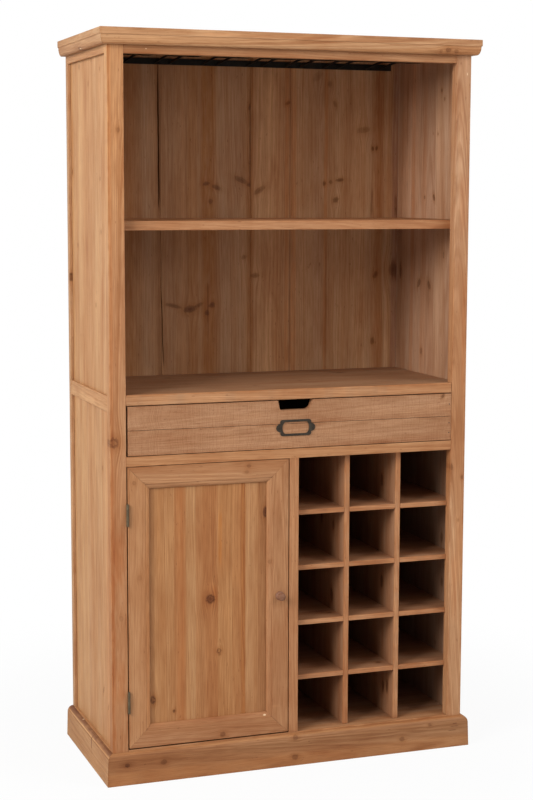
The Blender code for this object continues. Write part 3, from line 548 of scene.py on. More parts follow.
def metal(name, dark, bright, rough, metallic, gloss=0.5):
    """Aged or painted metal: two tones in cloudy patches, fine scratches and uneven roughness."""
    material, g, shader = principled(name)
    where = g.make("ShaderNodeTexCoord").outputs["Object"]
    split = g.make("ShaderNodeSeparateXYZ", {0: where}).outputs
    cloud = g.noise(g.join(*(g.times(value, CLOUD_RATE) for value in split)), 3.0, 0.6)
    grit = g.noise(g.join(*(g.times(value, GRIT_RATE) for value in split)), 2.0, 0.6)
    colour = g.mix(g.times(g.ramp(cloud, 0.42, 0.70), CLOUD_SHARE), (*dark, 1.0), (*bright, 1.0))
    colour = g.tint(colour, g.ramp(grit, 0.45, 0.75), GRIT_DARK)
    g.feed(shader.inputs["Base Color"], colour)
    g.feed(shader.inputs["Roughness"], g.add(rough, g.times(g.less(cloud, 0.5), 0.30),
                                             g.times(g.less(grit, 0.5), 0.15)))
    shader.inputs["Metallic"].default_value = metallic
    shader.inputs["Specular IOR Level"].default_value = gloss
    height = g.add(g.times(grit, 0.5), cloud)
    bump = g.make("ShaderNodeBump", {**METAL_BUMP, "Height": height}).outputs[0]
    g.feed(shader.inputs["Normal"], bump)
    return material


# Points this near are one, faces this flat are joined, and edges beyond these angles are eased
# and drawn sharp
WELD_GAP = 2e-5
FLAT_ANGLE = math.radians(0.5)
EASE_ANGLE = math.radians(35.0)
SHARP_ANGLE = math.radians(50.0)
# How far edges are eased, and with how many steps
WOOD_EASE = 0.0009
SHELF_EASE = 0.0026
DOOR_EASE = 0.0002
METAL_EASE = 0.0002
EASE_STEPS = 2
SHELF_STEPS = 4


def geometry_group(name):
    tree = bpy.data.node_groups.new(name, "GeometryNodeTree")
    tree.interface.new_socket("Geometry", in_out="INPUT", socket_type="NodeSocketGeometry")
    tree.interface.new_socket("Geometry", in_out="OUTPUT", socket_type="NodeSocketGeometry")
    return Graph(tree), tree.nodes.new("NodeGroupInput"), tree.nodes.new("NodeGroupOutput")


def weld_group():
    """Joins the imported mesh's loose triangles and drops its stored normals."""
    g, start, end = geometry_group("weld")
    merge = g.make("GeometryNodeMergeByDistance", {"Geometry": start.outputs[0], "Distance": WELD_GAP})
    clean = g.make("GeometryNodeRemoveAttribute", {"Geometry": merge.outputs[0], "Name": "custom_normal"})
    g.feed(end.inputs[0], clean.outputs[0])
    return g.tree


def smooth_group():
    """Smooth faces with sharp edges where two faces meet at a clear angle."""
    g, start, end = geometry_group("smooth")
    faces = g.make("GeometryNodeSetShadeSmooth", {0: start.outputs[0]}, domain="FACE")
    faces.inputs["Shade Smooth"].default_value = True
    angle = g.make("GeometryNodeInputMeshEdgeAngle").outputs[0]
    sharp = g.make("FunctionNodeCompare", {0: angle, 1: SHARP_ANGLE}, data_type="FLOAT",
                   operation="GREATER_THAN").outputs[0]
    edges = g.make("GeometryNodeSetShadeSmooth", {0: faces.outputs[0], "Selection": sharp}, domain="EDGE")
    edges.inputs["Shade Smooth"].default_value = False
    g.feed(end.inputs[0], edges.outputs[0])
    return g.tree


WELD = weld_group()
SMOOTH = smooth_group()


def dress(name, material, ease):
    """Finish on a CAD node, with its edges eased. The mesh itself stays as packed."""
    piece = NODES[name]
    piece.data.materials.clear()
    piece.data.materials.append(material)
    piece.modifiers.new("weld", "NODES").node_group = WELD
    flat = piece.modifiers.new("flat", "DECIMATE")
    flat.decimate_type = "DISSOLVE"
    flat.angle_limit = FLAT_ANGLE
    if ease:
        bevel = piece.modifiers.new("ease", "BEVEL")
        bevel.width = ease
        bevel.segments = EASE_STEPS if ease < SHELF_EASE else SHELF_STEPS
        bevel.limit_method = "ANGLE"
        bevel.angle_limit = EASE_ANGLE
    piece.modifiers.new("smooth", "NODES").node_group = SMOOTH
    if ease:
        normals = piece.modifiers.new("normals", "WEIGHTED_NORMAL")
        normals.keep_sharp = True


def dress_wood(name, axes, tone, ease=WOOD_EASE, **look):
    dress(name, wood(name, axes, tone, **look), ease)


# The front frame and mouldings
dress_wood("left_front_stile", "zxy", STILE, knots=(
    Knot(0.8356, -0.4561, 0.0095, 0.80, 1.15, 0.0, 0.45), Knot(1.5672, -0.4395, 0.0040, 0.35),
    Knot(0.4100, -0.4410, 0.0050, 0.20)), patches=(
    # The first patch is painted light on the side face and its corner; the last two are painted light on the
    # upper part and painted shade on the lower part.
    Patch(-0.4650, 0.0022, (1.05, 1.12, 1.12)), Patch(-0.4600, 0.0040, RED, 0.7),
    Patch(-0.4450, 0.0120, RED, 0.6, 0.55, 0.06), Patch(-0.4420, 0.0100, RED, 0.5, 0.25, 0.05),
    Patch(-0.4380, 0.0060, DIM, 0.5, 1.25, 0.10), Patch(-0.4480, 0.0050, PALE, 0.6, 1.58, 0.09),
    Patch(-0.4485, 0.0500, (1.14, 1.20, 1.18), 1.0, 1.75, 0.42),
    Patch(-0.4485, 0.0500, (0.85, 0.72, 0.61), 1.0, 0.25, 0.55)))
dress_wood("right_front_stile", "zxy", STILE, late=0.6, slant=0.05, chips=(
    (1.7174, 0.4547, 0.0040, 0.0014),), knots=(
    Knot(0.7045, 0.4586, 0.0035, 0.45), Knot(0.5934, 0.4493, 0.0030, 0.35),
    Knot(0.7323, 0.4290, 0.0030, 0.55, 2.4)), patches=(
    Patch(0.4330, 0.0040, GREY, 0.8, 0.7323, 0.020), Patch(0.4560, 0.0045, RED, 0.7, 1.05, 0.16),
    Patch(0.4500, 0.0100, RED, 0.6, 1.40, 0.07), Patch(0.4360, 0.0070, GREY, 0.7, 1.22, 0.10),
    Patch(0.4460, 0.0100, DIM, 0.5, 0.86, 0.06), Patch(0.4420, 0.0090, RED, 0.5, 0.42, 0.08),
    # The wide last patch is painted light: the upper part of the stile paler and bluer.
    Patch(0.4400, 0.0060, PALE, 0.6, 1.55, 0.12), Patch(0.4500, 0.0500, (1.00, 1.06, 1.18), 1.0, 1.60, 0.34)))
dress_wood("frieze_rail", "xzy", FRIEZE, chips=((-0.3712, 1.7544, 0.0020, 0.0012),))
dress_wood("cornice_front", "xzy", CORNICE, bands=0.8, late=0.7, spacing=0.0034, pith=0.05, knots=(
    Knot(0.3930, 1.7730, 0.0050, 0.60), Knot(0.4150, 1.7700, 0.0040, 0.50),
    Knot(0.3740, 1.7690, 0.0030, 0.40)), patches=(
    Patch(1.7640, 0.0060, DIM, 0.6, 0.40, 0.06), Patch(1.7900, 0.0030, RED, 0.5, -0.05, 0.22)),
    chips=((-0.4885, 1.7915, 0.0014, 0.0055),))
dress_wood("cornice_left", "yzx", CORNICE_SIDE, bands=0.7, late=0.6,
           chips=((-0.0040, 1.7655, 0.0070, 0.0020),), patches=(
           Patch(1.7700, 0.0120, GREY, 0.7, 0.10, 0.12), Patch(1.7660, 0.0050, DARK, 0.8, 0.0020, 0.016)))
dress_wood("cornice_right", "yzx", CORNICE_SIDE, bands=0.7, late=0.6)
dress_wood("top_board", "xyz", CORNICE, bands=0.6, staves=(
    (-0.11, (1.03, 1.02, 1.0)), (0.02, (0.95, 0.93, 0.9)), (0.13, (1.02, 1.0, 0.96))), knots=(
    Knot(-0.21, -0.05, 0.009, 0.6), Knot(0.17, 0.07, 0.007, 0.5), Knot(0.33, -0.12, 0.010, 0.5)))
dress_wood("base_front", "xzy", BASE, bands=0.6, knots=(
    Knot(-0.4330, 0.0494, 0.0040, 0.80), Knot(-0.3410, 0.0480, 0.0055, 0.55),
    Knot(0.0000, 0.0217, 0.0055, 0.55), Knot(0.0025, 0.0706, 0.0050, 0.50),
    Knot(0.2930, 0.0360, 0.0050, 0.50), Knot(0.3715, 0.0646, 0.0035, 0.40)), patches=(
    # The first three patches are painted light and shade: a highlight along the moulding's top, a shade line
    # under it and a darker band below. The fourth makes the face lighter near the floor.
    Patch(0.0790, 0.0050, (1.24, 1.24, 1.20)), Patch(0.0690, 0.0024, DIM, 0.8),
    Patch(0.0540, 0.0100, DIM, 0.55), Patch(0.0140, 0.0170, (1.14, 1.10, 1.02)),
    Patch(0.0510, 0.0070, DIM, 0.8, -0.4330, 0.022), Patch(0.0614, 0.0012, DARK, 0.9, 0.4427, 0.006),
    Patch(0.0543, 0.0013, DARK, 0.9, 0.4405, 0.012), Patch(0.0443, 0.0012, DARK, 0.9, 0.4350, 0.011)))
dress_wood("base_left", "yzx", BASE_SIDE, bands=0.5, chips=((0.0900, 0.0780, 0.0030, 0.0012),),
           knots=(Knot(-0.0420, 0.0575, 0.0026, 1.0, 5.0, 78.0),), patches=(
           # The three patches here are painted light and shade: a shaded ledge above the moulding, a
           # highlight line on its top edge and a shade line under it.
           Patch(0.0805, 0.0080, (0.48, 0.36, 0.30)), Patch(0.0706, 0.0014, (1.30, 1.38, 1.44)),
           Patch(0.0680, 0.0012, DARK, 0.8)))
dress_wood("base_right", "yzx", BASE_SIDE, bands=0.5, knots=(Knot(0.0500, 0.0400, 0.0060, 0.6),))

# The sides
dress_wood("left_rear_post", "zyx", SIDE, bands=0.4, knots=(
    Knot(1.2091, 0.1967, 0.0060, 0.9, 1.6), Knot(1.1875, 0.1856, 0.0040, 0.4)),
    patches=(Patch(0.1850, 0.0500, (0.91, 0.94, 1.03)),))
dress_wood("right_rear_post", "zyx", SIDE, bands=0.4, knots=(Knot(0.7200, 0.1950, 0.0050, 0.6),))
for level in ("top", "middle", "bottom"):
    dress_wood(f"left_{level}_rail", "yzx", SIDE, bands=0.4)
    dress_wood(f"right_{level}_rail", "yzx", SIDE, bands=0.4)
SIDE_STAVES = ((-0.085, (1.0, 1.02, 1.02)), (-0.012, (0.97, 0.94, 0.90)), (0.062, (1.03, 1.03, 1.0)),
               (0.132, (0.98, 0.96, 0.92)))
LEFT_KNOTS = (
    Knot(1.7386, -0.0153, 0.0040, 0.45), Knot(1.7303, 0.1078, 0.0045, 0.55),
    Knot(1.7128, -0.0990, 0.0035, 0.4), Knot(1.6841, 0.0171, 0.0035, 0.35),
    Knot(1.4745, 0.1887, 0.0050, 0.60), Knot(1.4556, -0.0930, 0.0035, 0.4),
    Knot(1.2921, 0.1390, 0.0045, 0.50), Knot(1.3302, -0.0969, 0.0040, 0.45),
    Knot(1.1526, -0.0410, 0.0040, 0.5))
dress_wood("left_upper_panel", "zyx", SIDE, staves=SIDE_STAVES, knots=LEFT_KNOTS)
dress_wood("left_lower_panel", "zyx", SIDE, staves=SIDE_STAVES, knots=(
    Knot(0.7600, -0.0900, 0.0040, 0.35), Knot(0.2040, -0.0830, 0.0032, 0.60, 2.6, -25.0),
    Knot(0.1720, -0.1280, 0.0028, 0.50, 2.6, -25.0)), patches=(
    Patch(-0.0450, 0.0160, GREY, 0.8), Patch(0.0500, 0.0140, GREY, 0.6), Patch(-0.1300, 0.0100, RED, 0.5)))
# The height that parts the knots of the right wall's two panels
PANEL_SPLIT = 1.0
RIGHT_KNOTS = (
    Knot(1.6847, -0.0594, 0.0032, 0.75), Knot(1.6624, -0.0760, 0.0034, 0.60),
    Knot(1.5750, -0.0408, 0.0028, 0.60), Knot(1.5772, -0.0132, 0.0024, 0.30),
    Knot(1.4126, 0.0349, 0.0034, 0.60), Knot(1.4128, -0.0213, 0.0038, 0.90, 2.2, 25.0),
    Knot(1.1863, 0.0630, 0.0065, 0.75, 1.7, -35.0), Knot(1.1842, 0.0008, 0.0065, 0.65, 1.6, 40.0),
    Knot(1.0062, 0.0445, 0.0045, 0.60, 1.8), Knot(1.2659, -0.0843, 0.0040, 0.50, 2.0),
    Knot(1.2155, 0.1825, 0.0060, 0.80, 3.0), Knot(0.5289, -0.0992, 0.0050, 0.70, 2.2),
    Knot(0.4113, -0.1034, 0.0045, 0.65, 2.2))
WALL_PATCHES = (
    Patch(0.1498, 0.0016, DARK, 0.8, 1.6350, 0.085), Patch(0.0045, 0.0018, DARK, 0.5, 1.1500, 0.075),
    # Painted light: the upper rear part of the wall lighter.
    Patch(0.1500, 0.0700, (1.28, 1.28, 1.28), 1.0, 1.57, 0.25),
    Patch(0.1880, 0.0130, DIM, 0.7), Patch(0.1100, 0.0120, RED, 0.6), Patch(0.0400, 0.0160, RED, 0.5),
    Patch(-0.0500, 0.0140, PALE, 0.5), Patch(0.0800, 0.0100, PALE, 0.4),
    # Painted shade: the lower front part of the wall darker.
    Patch(-0.1600, 0.0700, (0.89, 0.90, 0.96), 1.0, 1.10, 0.20))
UPPER_WALL_STAVES = ((-0.100, (1.02, 1.0, 0.98)), (-0.025, (0.97, 0.92, 0.90)), (0.045, (1.02, 1.0, 1.0)),
                     (0.118, (0.93, 0.90, 0.88)))
dress_wood("right_upper_panel", "zyx", SIDE, bands=0.45, late=0.3, staves=UPPER_WALL_STAVES,
           lining=WALL_INNER_TINT, knots=[k for k in RIGHT_KNOTS if k.at > PANEL_SPLIT], patches=WALL_PATCHES)
# The face towards the cells carries painted shade.
dress_wood("right_lower_panel", "zyx", SIDE, bands=0.45, staves=SIDE_STAVES, lining=CELL_WALL_SHADE, knots=[
    *[k for k in RIGHT_KNOTS if k.at < PANEL_SPLIT], Knot(0.6100, 0.0400, 0.0050, 0.55),
    Knot(0.2400, -0.0700, 0.0040, 0.4)])

# The back, whose streaks run through both bays
BACK_KNOTS = (
    Knot(1.4469, -0.0961, 0.0045, 0.80, 1.8, 75.0), Knot(1.4369, -0.0681, 0.0050, 0.75, 2.4, 112.0),
    Knot(1.4007, -0.0844, 0.0050, 0.60, 1.3, 30.0), Knot(1.4570, -0.0010, 0.0060, 0.70, 3.0, 114.0),
    Knot(1.4440, 0.0249, 0.0050, 0.75, 1.6, 100.0), Knot(1.4300, 0.0510, 0.0060, 0.70, 2.6, 58.0),
    Knot(1.6480, 0.0245, 0.0038, 0.70, 2.2, 20.0), Knot(1.6592, 0.1309, 0.0040, 0.65, 1.8, 60.0),
    Knot(1.7315, 0.2156, 0.0085, 0.40, 1.8, 40.0), Knot(1.7114, 0.2501, 0.0050, 0.55, 1.6),
    Knot(1.6592, 0.2649, 0.0042, 0.55, 1.8, -20.0), Knot(1.5919, 0.3490, 0.0070, 0.50, 2.4, 82.0),
    Knot(1.5427, 0.3760, 0.0034, 0.90, 1.6), Knot(1.5435, 0.3870, 0.0034, 0.85, 1.6, 15.0),
    Knot(1.4483, 0.2357, 0.0042, 0.80, 1.3), Knot(1.4526, 0.2541, 0.0040, 0.65, 1.3),
    Knot(1.4580, 0.2810, 0.0042, 0.90, 2.2, 85.0), Knot(1.4047, 0.2690, 0.0060, 0.85, 1.3, 60.0),
    Knot(1.1193, -0.1416, 0.0080, 1.00, 1.9, 84.0), Knot(1.1290, -0.1880, 0.0042, 0.75, 4.5, 104.0),
    Knot(1.1290, -0.1180, 0.0042, 0.65, 3.0, 64.0), Knot(1.1291, -0.0809, 0.0060, 0.85, 1.3, 60.0),
    Knot(1.1083, -0.0948, 0.0048, 0.75, 1.5), Knot(1.2052, 0.0393, 0.0055, 0.65, 1.9, 88.0),
    Knot(1.2545, 0.0083, 0.0050, 0.45, 1.4, 60.0), Knot(1.2027, 0.3875, 0.0055, 0.75, 1.7, 25.0),
    Knot(1.0211, 0.3800, 0.0055, 0.70, 1.5), Knot(1.2160, 0.4400, 0.0110, 0.70, 1.4))
BACK_PATCHES = (
    # The first three patches are painted light and shade: the left part darker, the right part and the middle
    # lighter.
    Patch(-0.3300, 0.2000, (0.88, 0.86, 0.84)), Patch(0.3600, 0.2200, (1.06, 1.11, 1.18)),
    Patch(0.1300, 0.0900, (1.08, 1.08, 1.08)),
    Patch(-0.3200, 0.0300, AMBER, 0.7), Patch(-0.2550, 0.0170, GREY, 0.8), Patch(-0.2260, 0.0060, DIM, 0.8),
    Patch(-0.1950, 0.0150, GREY, 0.6), Patch(-0.1580, 0.0060, PALE, 0.7), Patch(-0.1320, 0.0150, AMBER, 0.5),
    Patch(-0.0910, 0.0200, AMBER, 0.9), Patch(-0.0910, 0.0180, DIM, 0.5),
    Patch(-0.0920, 0.0016, DARK, 0.9, 1.12, 0.09), Patch(-0.0280, 0.0340, GREY, 0.7),
    Patch(0.0246, 0.0085, DIM, 0.9), Patch(0.0246, 0.0100, AMBER, 0.6),
    Patch(0.0246, 0.0022, DARK, 0.8, 1.56, 0.12), Patch(0.0780, 0.0350, PALE, 0.7),
    Patch(0.1290, 0.0060, RED, 0.8), Patch(0.1373, 0.0016, DARK, 0.7), Patch(0.1470, 0.0080, RED, 0.9),
    Patch(0.2170, 0.0150, GREY, 0.8), Patch(0.2400, 0.0050, RED, 0.9),
    Patch(0.2420, 0.0026, DARK, 0.5, 1.10, 0.20), Patch(0.2780, 0.0240, PALE, 0.4),
    Patch(0.3380, 0.0220, PALE, 0.7), Patch(0.3920, 0.0200, DIM, 0.9), Patch(0.3920, 0.0180, RED, 0.6),
    # The purple patch by the right wall is partly a stain and partly painted shade in the corner.
    Patch(0.4210, 0.0060, PALE, 0.5), Patch(0.4430, 0.0100, PURPLE, 0.8),
    Patch(0.3750, 0.0040, DARK, 0.6, 1.3990, 0.035), Patch(0.4460, 0.0060, DARK, 0.7, 1.3870, 0.030),
    Patch(0.4440, 0.0090, DARK, 0.6, 1.2160, 0.030))
BACK_CRACKS = (Crack(-0.2250, -0.2265, 1.365, 1.766, 0.0040), Crack(-0.2150, -0.2205, 0.950, 1.205, 0.0022))
# The back's knots have a dark core and a faint outline
BACK_RIM = 0.65
BACK_HEART = 1.5
for name in ("back_board_1", "back_board_2", "back_board_3", "back_board_4"):
    low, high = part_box(name)
    dress_wood(name, "zxy", BACK, bands=0.45, late=0.22, spacing=0.0050, slant=0.0, dirt=0.0,
               knots=[k._replace(dark=k.dark * BACK_RIM, heart=BACK_HEART)
                      for k in BACK_KNOTS if low.x < k.over < high.x],
               patches=[p for p in BACK_PATCHES if low.x - 2 * p.half < p.over < high.x + 2 * p.half],
               cracks=[c for c in BACK_CRACKS if low.x < c.near < high.x or low.x < c.far < high.x])

# Shelves, boards and divider
dress_wood("hutch_shelf", "xyz", SHELF, ease=SHELF_EASE, bands=0.4)
dress_wood("worktop", "xyz", WORKTOP, ease=SHELF_EASE, bands=0.5, knots=(
    Knot(-0.2249, 0.1345, 0.0060, 0.75), Knot(-0.0667, -0.0946, 0.0050, 0.50),
    Knot(0.2485, 0.1204, 0.0065, 0.75), Knot(0.0797, -0.0253, 0.0045, 0.45)), staves=(
    (-0.09, (0.97, 0.94, 0.92)), (0.01, (1.0, 0.98, 0.96)), (0.11, (0.95, 0.92, 0.90))),
    # The patch is painted light along the front edge.
    patches=(Patch(-0.1962, 0.0100, (1.36, 1.22, 1.03)),))
dress_wood("under_drawer_board", "xyz", RAIL, bands=0.4)
# The wide patch is painted shade: the board darker away from its front edge.
dress_wood("bottom_board", "xyz", RAIL, bands=0.5, patches=(Patch(-0.0200, 0.1500, (0.64, 0.68, 0.83)),))
dress_wood("cupboard_shelf", "xyz", INSIDE, bands=0.5, knots=(Knot(-0.25, 0.02, 0.006, 0.6),))
dress_wood("divider_board", "zyx", SHELF, bands=0.4)

# The bottle grid, with painted highlight on the front edges and painted shade that darkens the walls towards
# the back
GRID_LIT_EDGE = Patch(-0.1772, 0.0060, (1.30, 1.20, 1.02))
GRID_DEEP_SHADE = Patch(0.0500, 0.1700, (0.76, 0.72, 0.70))
dress_wood("grid_upright_1", "zyx", GRID, patches=(GRID_LIT_EDGE, GRID_DEEP_SHADE), knots=(
    Knot(0.3992, -0.0949, 0.0070, 1.00, 2.2, 8.0), Knot(0.5874, -0.0218, 0.0060, 0.90, 2.0),
    Knot(0.5836, -0.1028, 0.0050, 0.90, 2.2)), wear=0.15)
dress_wood("grid_upright_2", "zyx", GRID, patches=(GRID_LIT_EDGE, GRID_DEEP_SHADE), knots=(
    Knot(0.6905, -0.0917, 0.0065, 1.00, 2.2), Knot(0.4247, -0.0970, 0.0065, 1.00, 2.2),
    Knot(0.1483, -0.1128, 0.0050, 1.00, 2.8, 0.0, 1.5), Knot(0.1556, -0.1384, 0.0050, 1.00, 3.2, 0.0, 1.5)),
    wear=0.15)
GRID_SHELF_KNOTS = {
    1: (Knot(0.2560, -0.1380, 0.0050, 0.85),),
    2: (Knot(0.1249, -0.1268, 0.0045, 0.80), Knot(0.0500, -0.0600, 0.0040, 0.50)),
    3: (Knot(0.3100, -0.0900, 0.0045, 0.55), Knot(0.1020, -0.1400, 0.0040, 0.75)),
    4: (Knot(0.0700, -0.1000, 0.0045, 0.45),),
}
for number, spots in GRID_SHELF_KNOTS.items():
    dress_wood(f"grid_shelf_{number}", "xyz", GRID, knots=spots, patches=(GRID_LIT_EDGE,), wear=0.15)

# The door
dress_wood("door_left_stile", "zxy", DOOR_STILE, ease=DOOR_EASE, bands=0.35, knots=(
    Knot(0.7377, -0.4073, 0.0040, 0.35), Knot(0.5059, -0.3940, 0.0050, 0.20)), patches=(
    # The patch is painted light on the bead along the inner edge.
    Patch(-0.3740, 0.0062, (1.24, 1.22, 1.16)),))
dress_wood("door_right_stile", "zxy", FRAME, ease=DOOR_EASE, bands=0.35, knots=(
    Knot(0.4002, -0.0872, 0.0035, 0.30, 1.2, 0.0, 0.0), Knot(0.5209, -0.0624, 0.0040, 0.35)), patches=(
    Patch(-0.0454, 0.0100, PALE, 0.6, 0.1534, 0.003), Patch(-0.0480, 0.0012, PALE, 0.8, 0.1500, 0.012),
    # The patch at the knob's height is painted shade around the knob's foot.
    Patch(-0.0380, 0.0160, DIM, 0.6, 0.4230, 0.020), Patch(-0.0420, 0.0100, DIM, 0.5, 0.60, 0.05)))
dress_wood("door_top_rail", "xzy", FRAME, ease=DOOR_EASE, bands=0.35, pith=0.05, late=0.6, knots=(
    Knot(-0.1176, 0.7634, 0.0040, 0.40), Knot(-0.1227, 0.7489, 0.0035, 0.30)))
dress_wood("door_bottom_rail", "xzy", FRAME, ease=DOOR_EASE, bands=0.35, knots=(
    Knot(-0.1846, 0.0957, 0.0055, 0.60, 1.1),), chips=((-0.0750, 0.1330, 0.0040, 0.0022),),
    patches=(Patch(0.1060, 0.0800, (0.92, 0.88, 0.86)),))
dress_wood("door_panel", "zxy", PANEL, bands=0.45, late=0.35, slant=0.0, knots=(
    Knot(0.4375, -0.2133, 0.0100, 1.00, 1.0), Knot(0.3050, -0.1915, 0.0055, 0.80, 1.0, 0.0, 0.25),
    Knot(0.1981, -0.3606, 0.0060, 0.95, 1.4, 0.0, 0.55), Knot(0.6448, -0.0710, 0.0060, 1.00, 1.9),
    Knot(0.1649, -0.3075, 0.0028, 0.95)), seams=0.25, staves=(
    (-0.3567, (1.05, 1.04, 1.0)), (-0.3050, (0.95, 0.82, 0.70)), (-0.2760, (1.05, 1.05, 1.02)),
    (-0.2505, (0.95, 0.83, 0.72)), (-0.1940, (1.05, 1.02, 0.94)), (-0.1578, (0.95, 0.82, 0.68)),
    (-0.1240, (1.02, 0.99, 0.96)), (-0.0900, (0.88, 0.80, 0.74))), patches=(
    # The first patch here and the last one are painted shade along the panel's edges next to the frame.
    Patch(-0.3620, 0.0070, DIM, 0.8), Patch(-0.3450, 0.0040, PALE, 0.7, 0.60, 0.10),
    Patch(-0.2900, 0.0090, RED, 0.5), Patch(-0.2360, 0.0070, DIM, 0.5, 0.25, 0.22),
    Patch(-0.2133, 0.0100, PALE, 0.6, 0.4680, 0.012), Patch(-0.2020, 0.0050, AMBER, 0.6, 0.4500, 0.020),
    Patch(-0.1887, 0.0045, AMBER, 0.9, 0.59, 0.07), Patch(-0.1880, 0.0080, PALE, 0.5, 0.59, 0.09),
    Patch(-0.1285, 0.0060, AMBER, 0.6), Patch(-0.1285, 0.0060, DIM, 0.4), Patch(-0.0760, 0.0100, DIM, 0.5)))
# The chip on the knob is a painted highlight on the lit flank of its foot.
dress_wood("door_knob", "yzx", KNOB, ease=METAL_EASE, spacing=0.0014, pith=0.0, slant=0.0, late=0.8,
           bands=0.3, centre=sum(corner.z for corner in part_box("door_knob")) / 2,
           chips=((-0.1900, 0.4264, 0.0040, 0.0022),))

# The drawer and its guides
dress_wood("drawer_lower_front", "xzy", DRAWER, ease=DOOR_EASE, bands=0.2, late=0.2, sawn=1.0)
dress_wood("drawer_upper_front", "xzy", DRAWER, ease=DOOR_EASE, bands=0.2, late=0.2, sawn=1.0, knots=(
    Knot(0.4014, 0.9151, 0.0032, 0.75, 1.6, 60.0),))
for hand in ("left", "right"):
    dress_wood(f"drawer_{hand}_side", "yzx", INSIDE, bands=0.4)
    dress_wood(f"{hand}_drawer_guide", "yxz", INSIDE, bands=0.4)
dress_wood("drawer_back", "xzy", INSIDE, bands=0.4)
dress_wood("drawer_bottom", "xyz", INSIDE, bands=0.5)

# Metal
OLD_BRASS = metal("old_brass", (0.092, 0.066, 0.037), (0.172, 0.132, 0.078), 0.60, 0.15, gloss=0.2)
DARK_BRONZE = metal("dark_bronze", (0.034, 0.025, 0.017), (0.066, 0.052, 0.038), 0.65, 0.10, gloss=0.18)
BLACK_STEEL = metal("black_steel", (0.012, 0.011, 0.009), (0.026, 0.024, 0.020), 0.70, 0.0, gloss=0.12)
PIN_STEEL = metal("pin_steel", (0.16, 0.14, 0.10), (0.42, 0.38, 0.30), 0.42, 0.7)
RUSTY_NAIL = metal("rusty_nail", (0.050, 0.022, 0.014), (0.120, 0.052, 0.030), 0.65, 0.2)
for name in ("upper_hinge_fixed_leaf", "lower_hinge_fixed_leaf", "upper_hinge_door_leaf",
             "lower_hinge_door_leaf", "door_strike_plate"):
    dress(name, OLD_BRASS, METAL_EASE)
dress("label_holder", DARK_BRONZE, METAL_EASE)
dress("stemware_rack", BLACK_STEEL, 0.0)
dress("magnetic_catch", BLACK_STEEL, METAL_EASE)


# Small fittings
def add_piece(name, heads, material, body):
    """One piece made of round heads, each (foot, facing, radius, proud, slot turn or None)."""
    mesh = bpy.data.meshes.new(name)
    shape = bmesh.new()
    for head in heads:
        round_head(shape, *head)
    bmesh.ops.recalc_face_normals(shape, faces=shape.faces)
    shape.to_mesh(mesh)
    shape.free()
    mesh.materials.append(material)
    piece = bpy.data.objects.new(name, mesh)
    bpy.context.scene.collection.objects.link(piece)
    piece.modifiers.new("smooth", "NODES").node_group = SMOOTH
    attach(piece, body)


HEAD_STEPS = 28
HEAD_RINGS = 24
# Shares of the head's radius and height, from its rim to its middle
HEAD_OUTLINE = ((1.0, 0.0), (1.0, 0.35), (0.90, 0.72), (0.62, 0.93), (0.0, 1.0))
# The sawn slot's half width and depth, as shares of the same
SLOT_HALF = 0.16
SLOT_DEEP = 0.75


def head_height(share):
    for (outer, low), (inner, high) in zip(HEAD_OUTLINE[1:], HEAD_OUTLINE[2:]):
        if inner <= share <= outer:
            return low + (high - low) * (outer - share) / (outer - inner)
    return 0.0


def round_head(shape, foot, facing, radius, proud, turn):
    """A low domed head, with a sawn slot where turn is given."""
    turned = facing.to_track_quat("Z", "Y").to_matrix().to_4x4()
    place = Matrix.Translation(foot) @ turned @ Matrix.Rotation(turn or 0.0, 4, "Z")
    sawn = SLOT_DEEP if turn is not None else 0.0
    middle = shape.verts.new(place @ Vector((0.0, 0.0, (1.0 - sawn) * proud)))
    rings = []
    for row in range(1, HEAD_RINGS + 1):
        share = row / HEAD_RINGS
        ring = []
        for step in range(HEAD_STEPS):
            angle = 2 * math.pi * step / HEAD_STEPS
            x, y = share * math.cos(angle), share * math.sin(angle)
            tall = head_height(share)
            if turn is not None and abs(y) < SLOT_HALF and row < HEAD_RINGS:
                tall = 1.0 - SLOT_DEEP
            ring.append(shape.verts.new(place @ Vector((x * radius, y * radius, tall * proud))))
        rings.append(ring)
    rings.append([shape.verts.new(vert.co - facing * head_height(1.0) * proud) for vert in rings[-1]])
    for step in range(HEAD_STEPS):
        following = (step + 1) % HEAD_STEPS
        shape.faces.new((middle, rings[0][step], rings[0][following]))
        for inner, outer in zip(rings, rings[1:]):
            shape.faces.new((inner[step], outer[step], outer[following], inner[following]))
    shape.faces.new(list(reversed(rings[-1])))


# Radius and height of screw and nail heads, their places on a piece, and how deep they sit in it
SCREW_R = 0.0029
SCREW_PROUD = 0.00012
SCREW_SHARES = (0.22, 0.78)
LEAF_SCREW_IN = 0.0035
NAIL_R = 0.0016
NAIL_PROUD = 0.0003
NAIL_HEIGHTS = (0.8940, 0.8462, 0.8211)
NAIL_IN = 0.0052
SUNK = 0.00002


def hinge_screws(leaf, facing):
    """Two screw heads on a leaf's open face, with the slots turned at random."""
    chance = random.Random(leaf)
    low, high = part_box(leaf)
    x = (high.x if facing.x > 0 else low.x) - facing.x * SUNK
    y = (low.y + high.y) / 2 + LEAF_SCREW_IN
    return [(Vector((x, y, low.z + share * (high.z - low.z))), facing, SCREW_R, SCREW_PROUD,
             chance.uniform(0.0, math.pi)) for share in SCREW_SHARES]


RIGHTWARDS = Vector((1.0, 0.0, 0.0))
FORWARDS = Vector((0.0, -1.0, 0.0))
for level in ("upper", "lower"):
    for kind, facing, body in (("fixed", RIGHTWARDS, "carcass"), ("door", -RIGHTWARDS, "door")):
        heads = hinge_screws(f"{level}_hinge_{kind}_leaf", facing)
        add_piece(f"{level}_hinge_{kind}_screws", heads, PIN_STEEL, body)

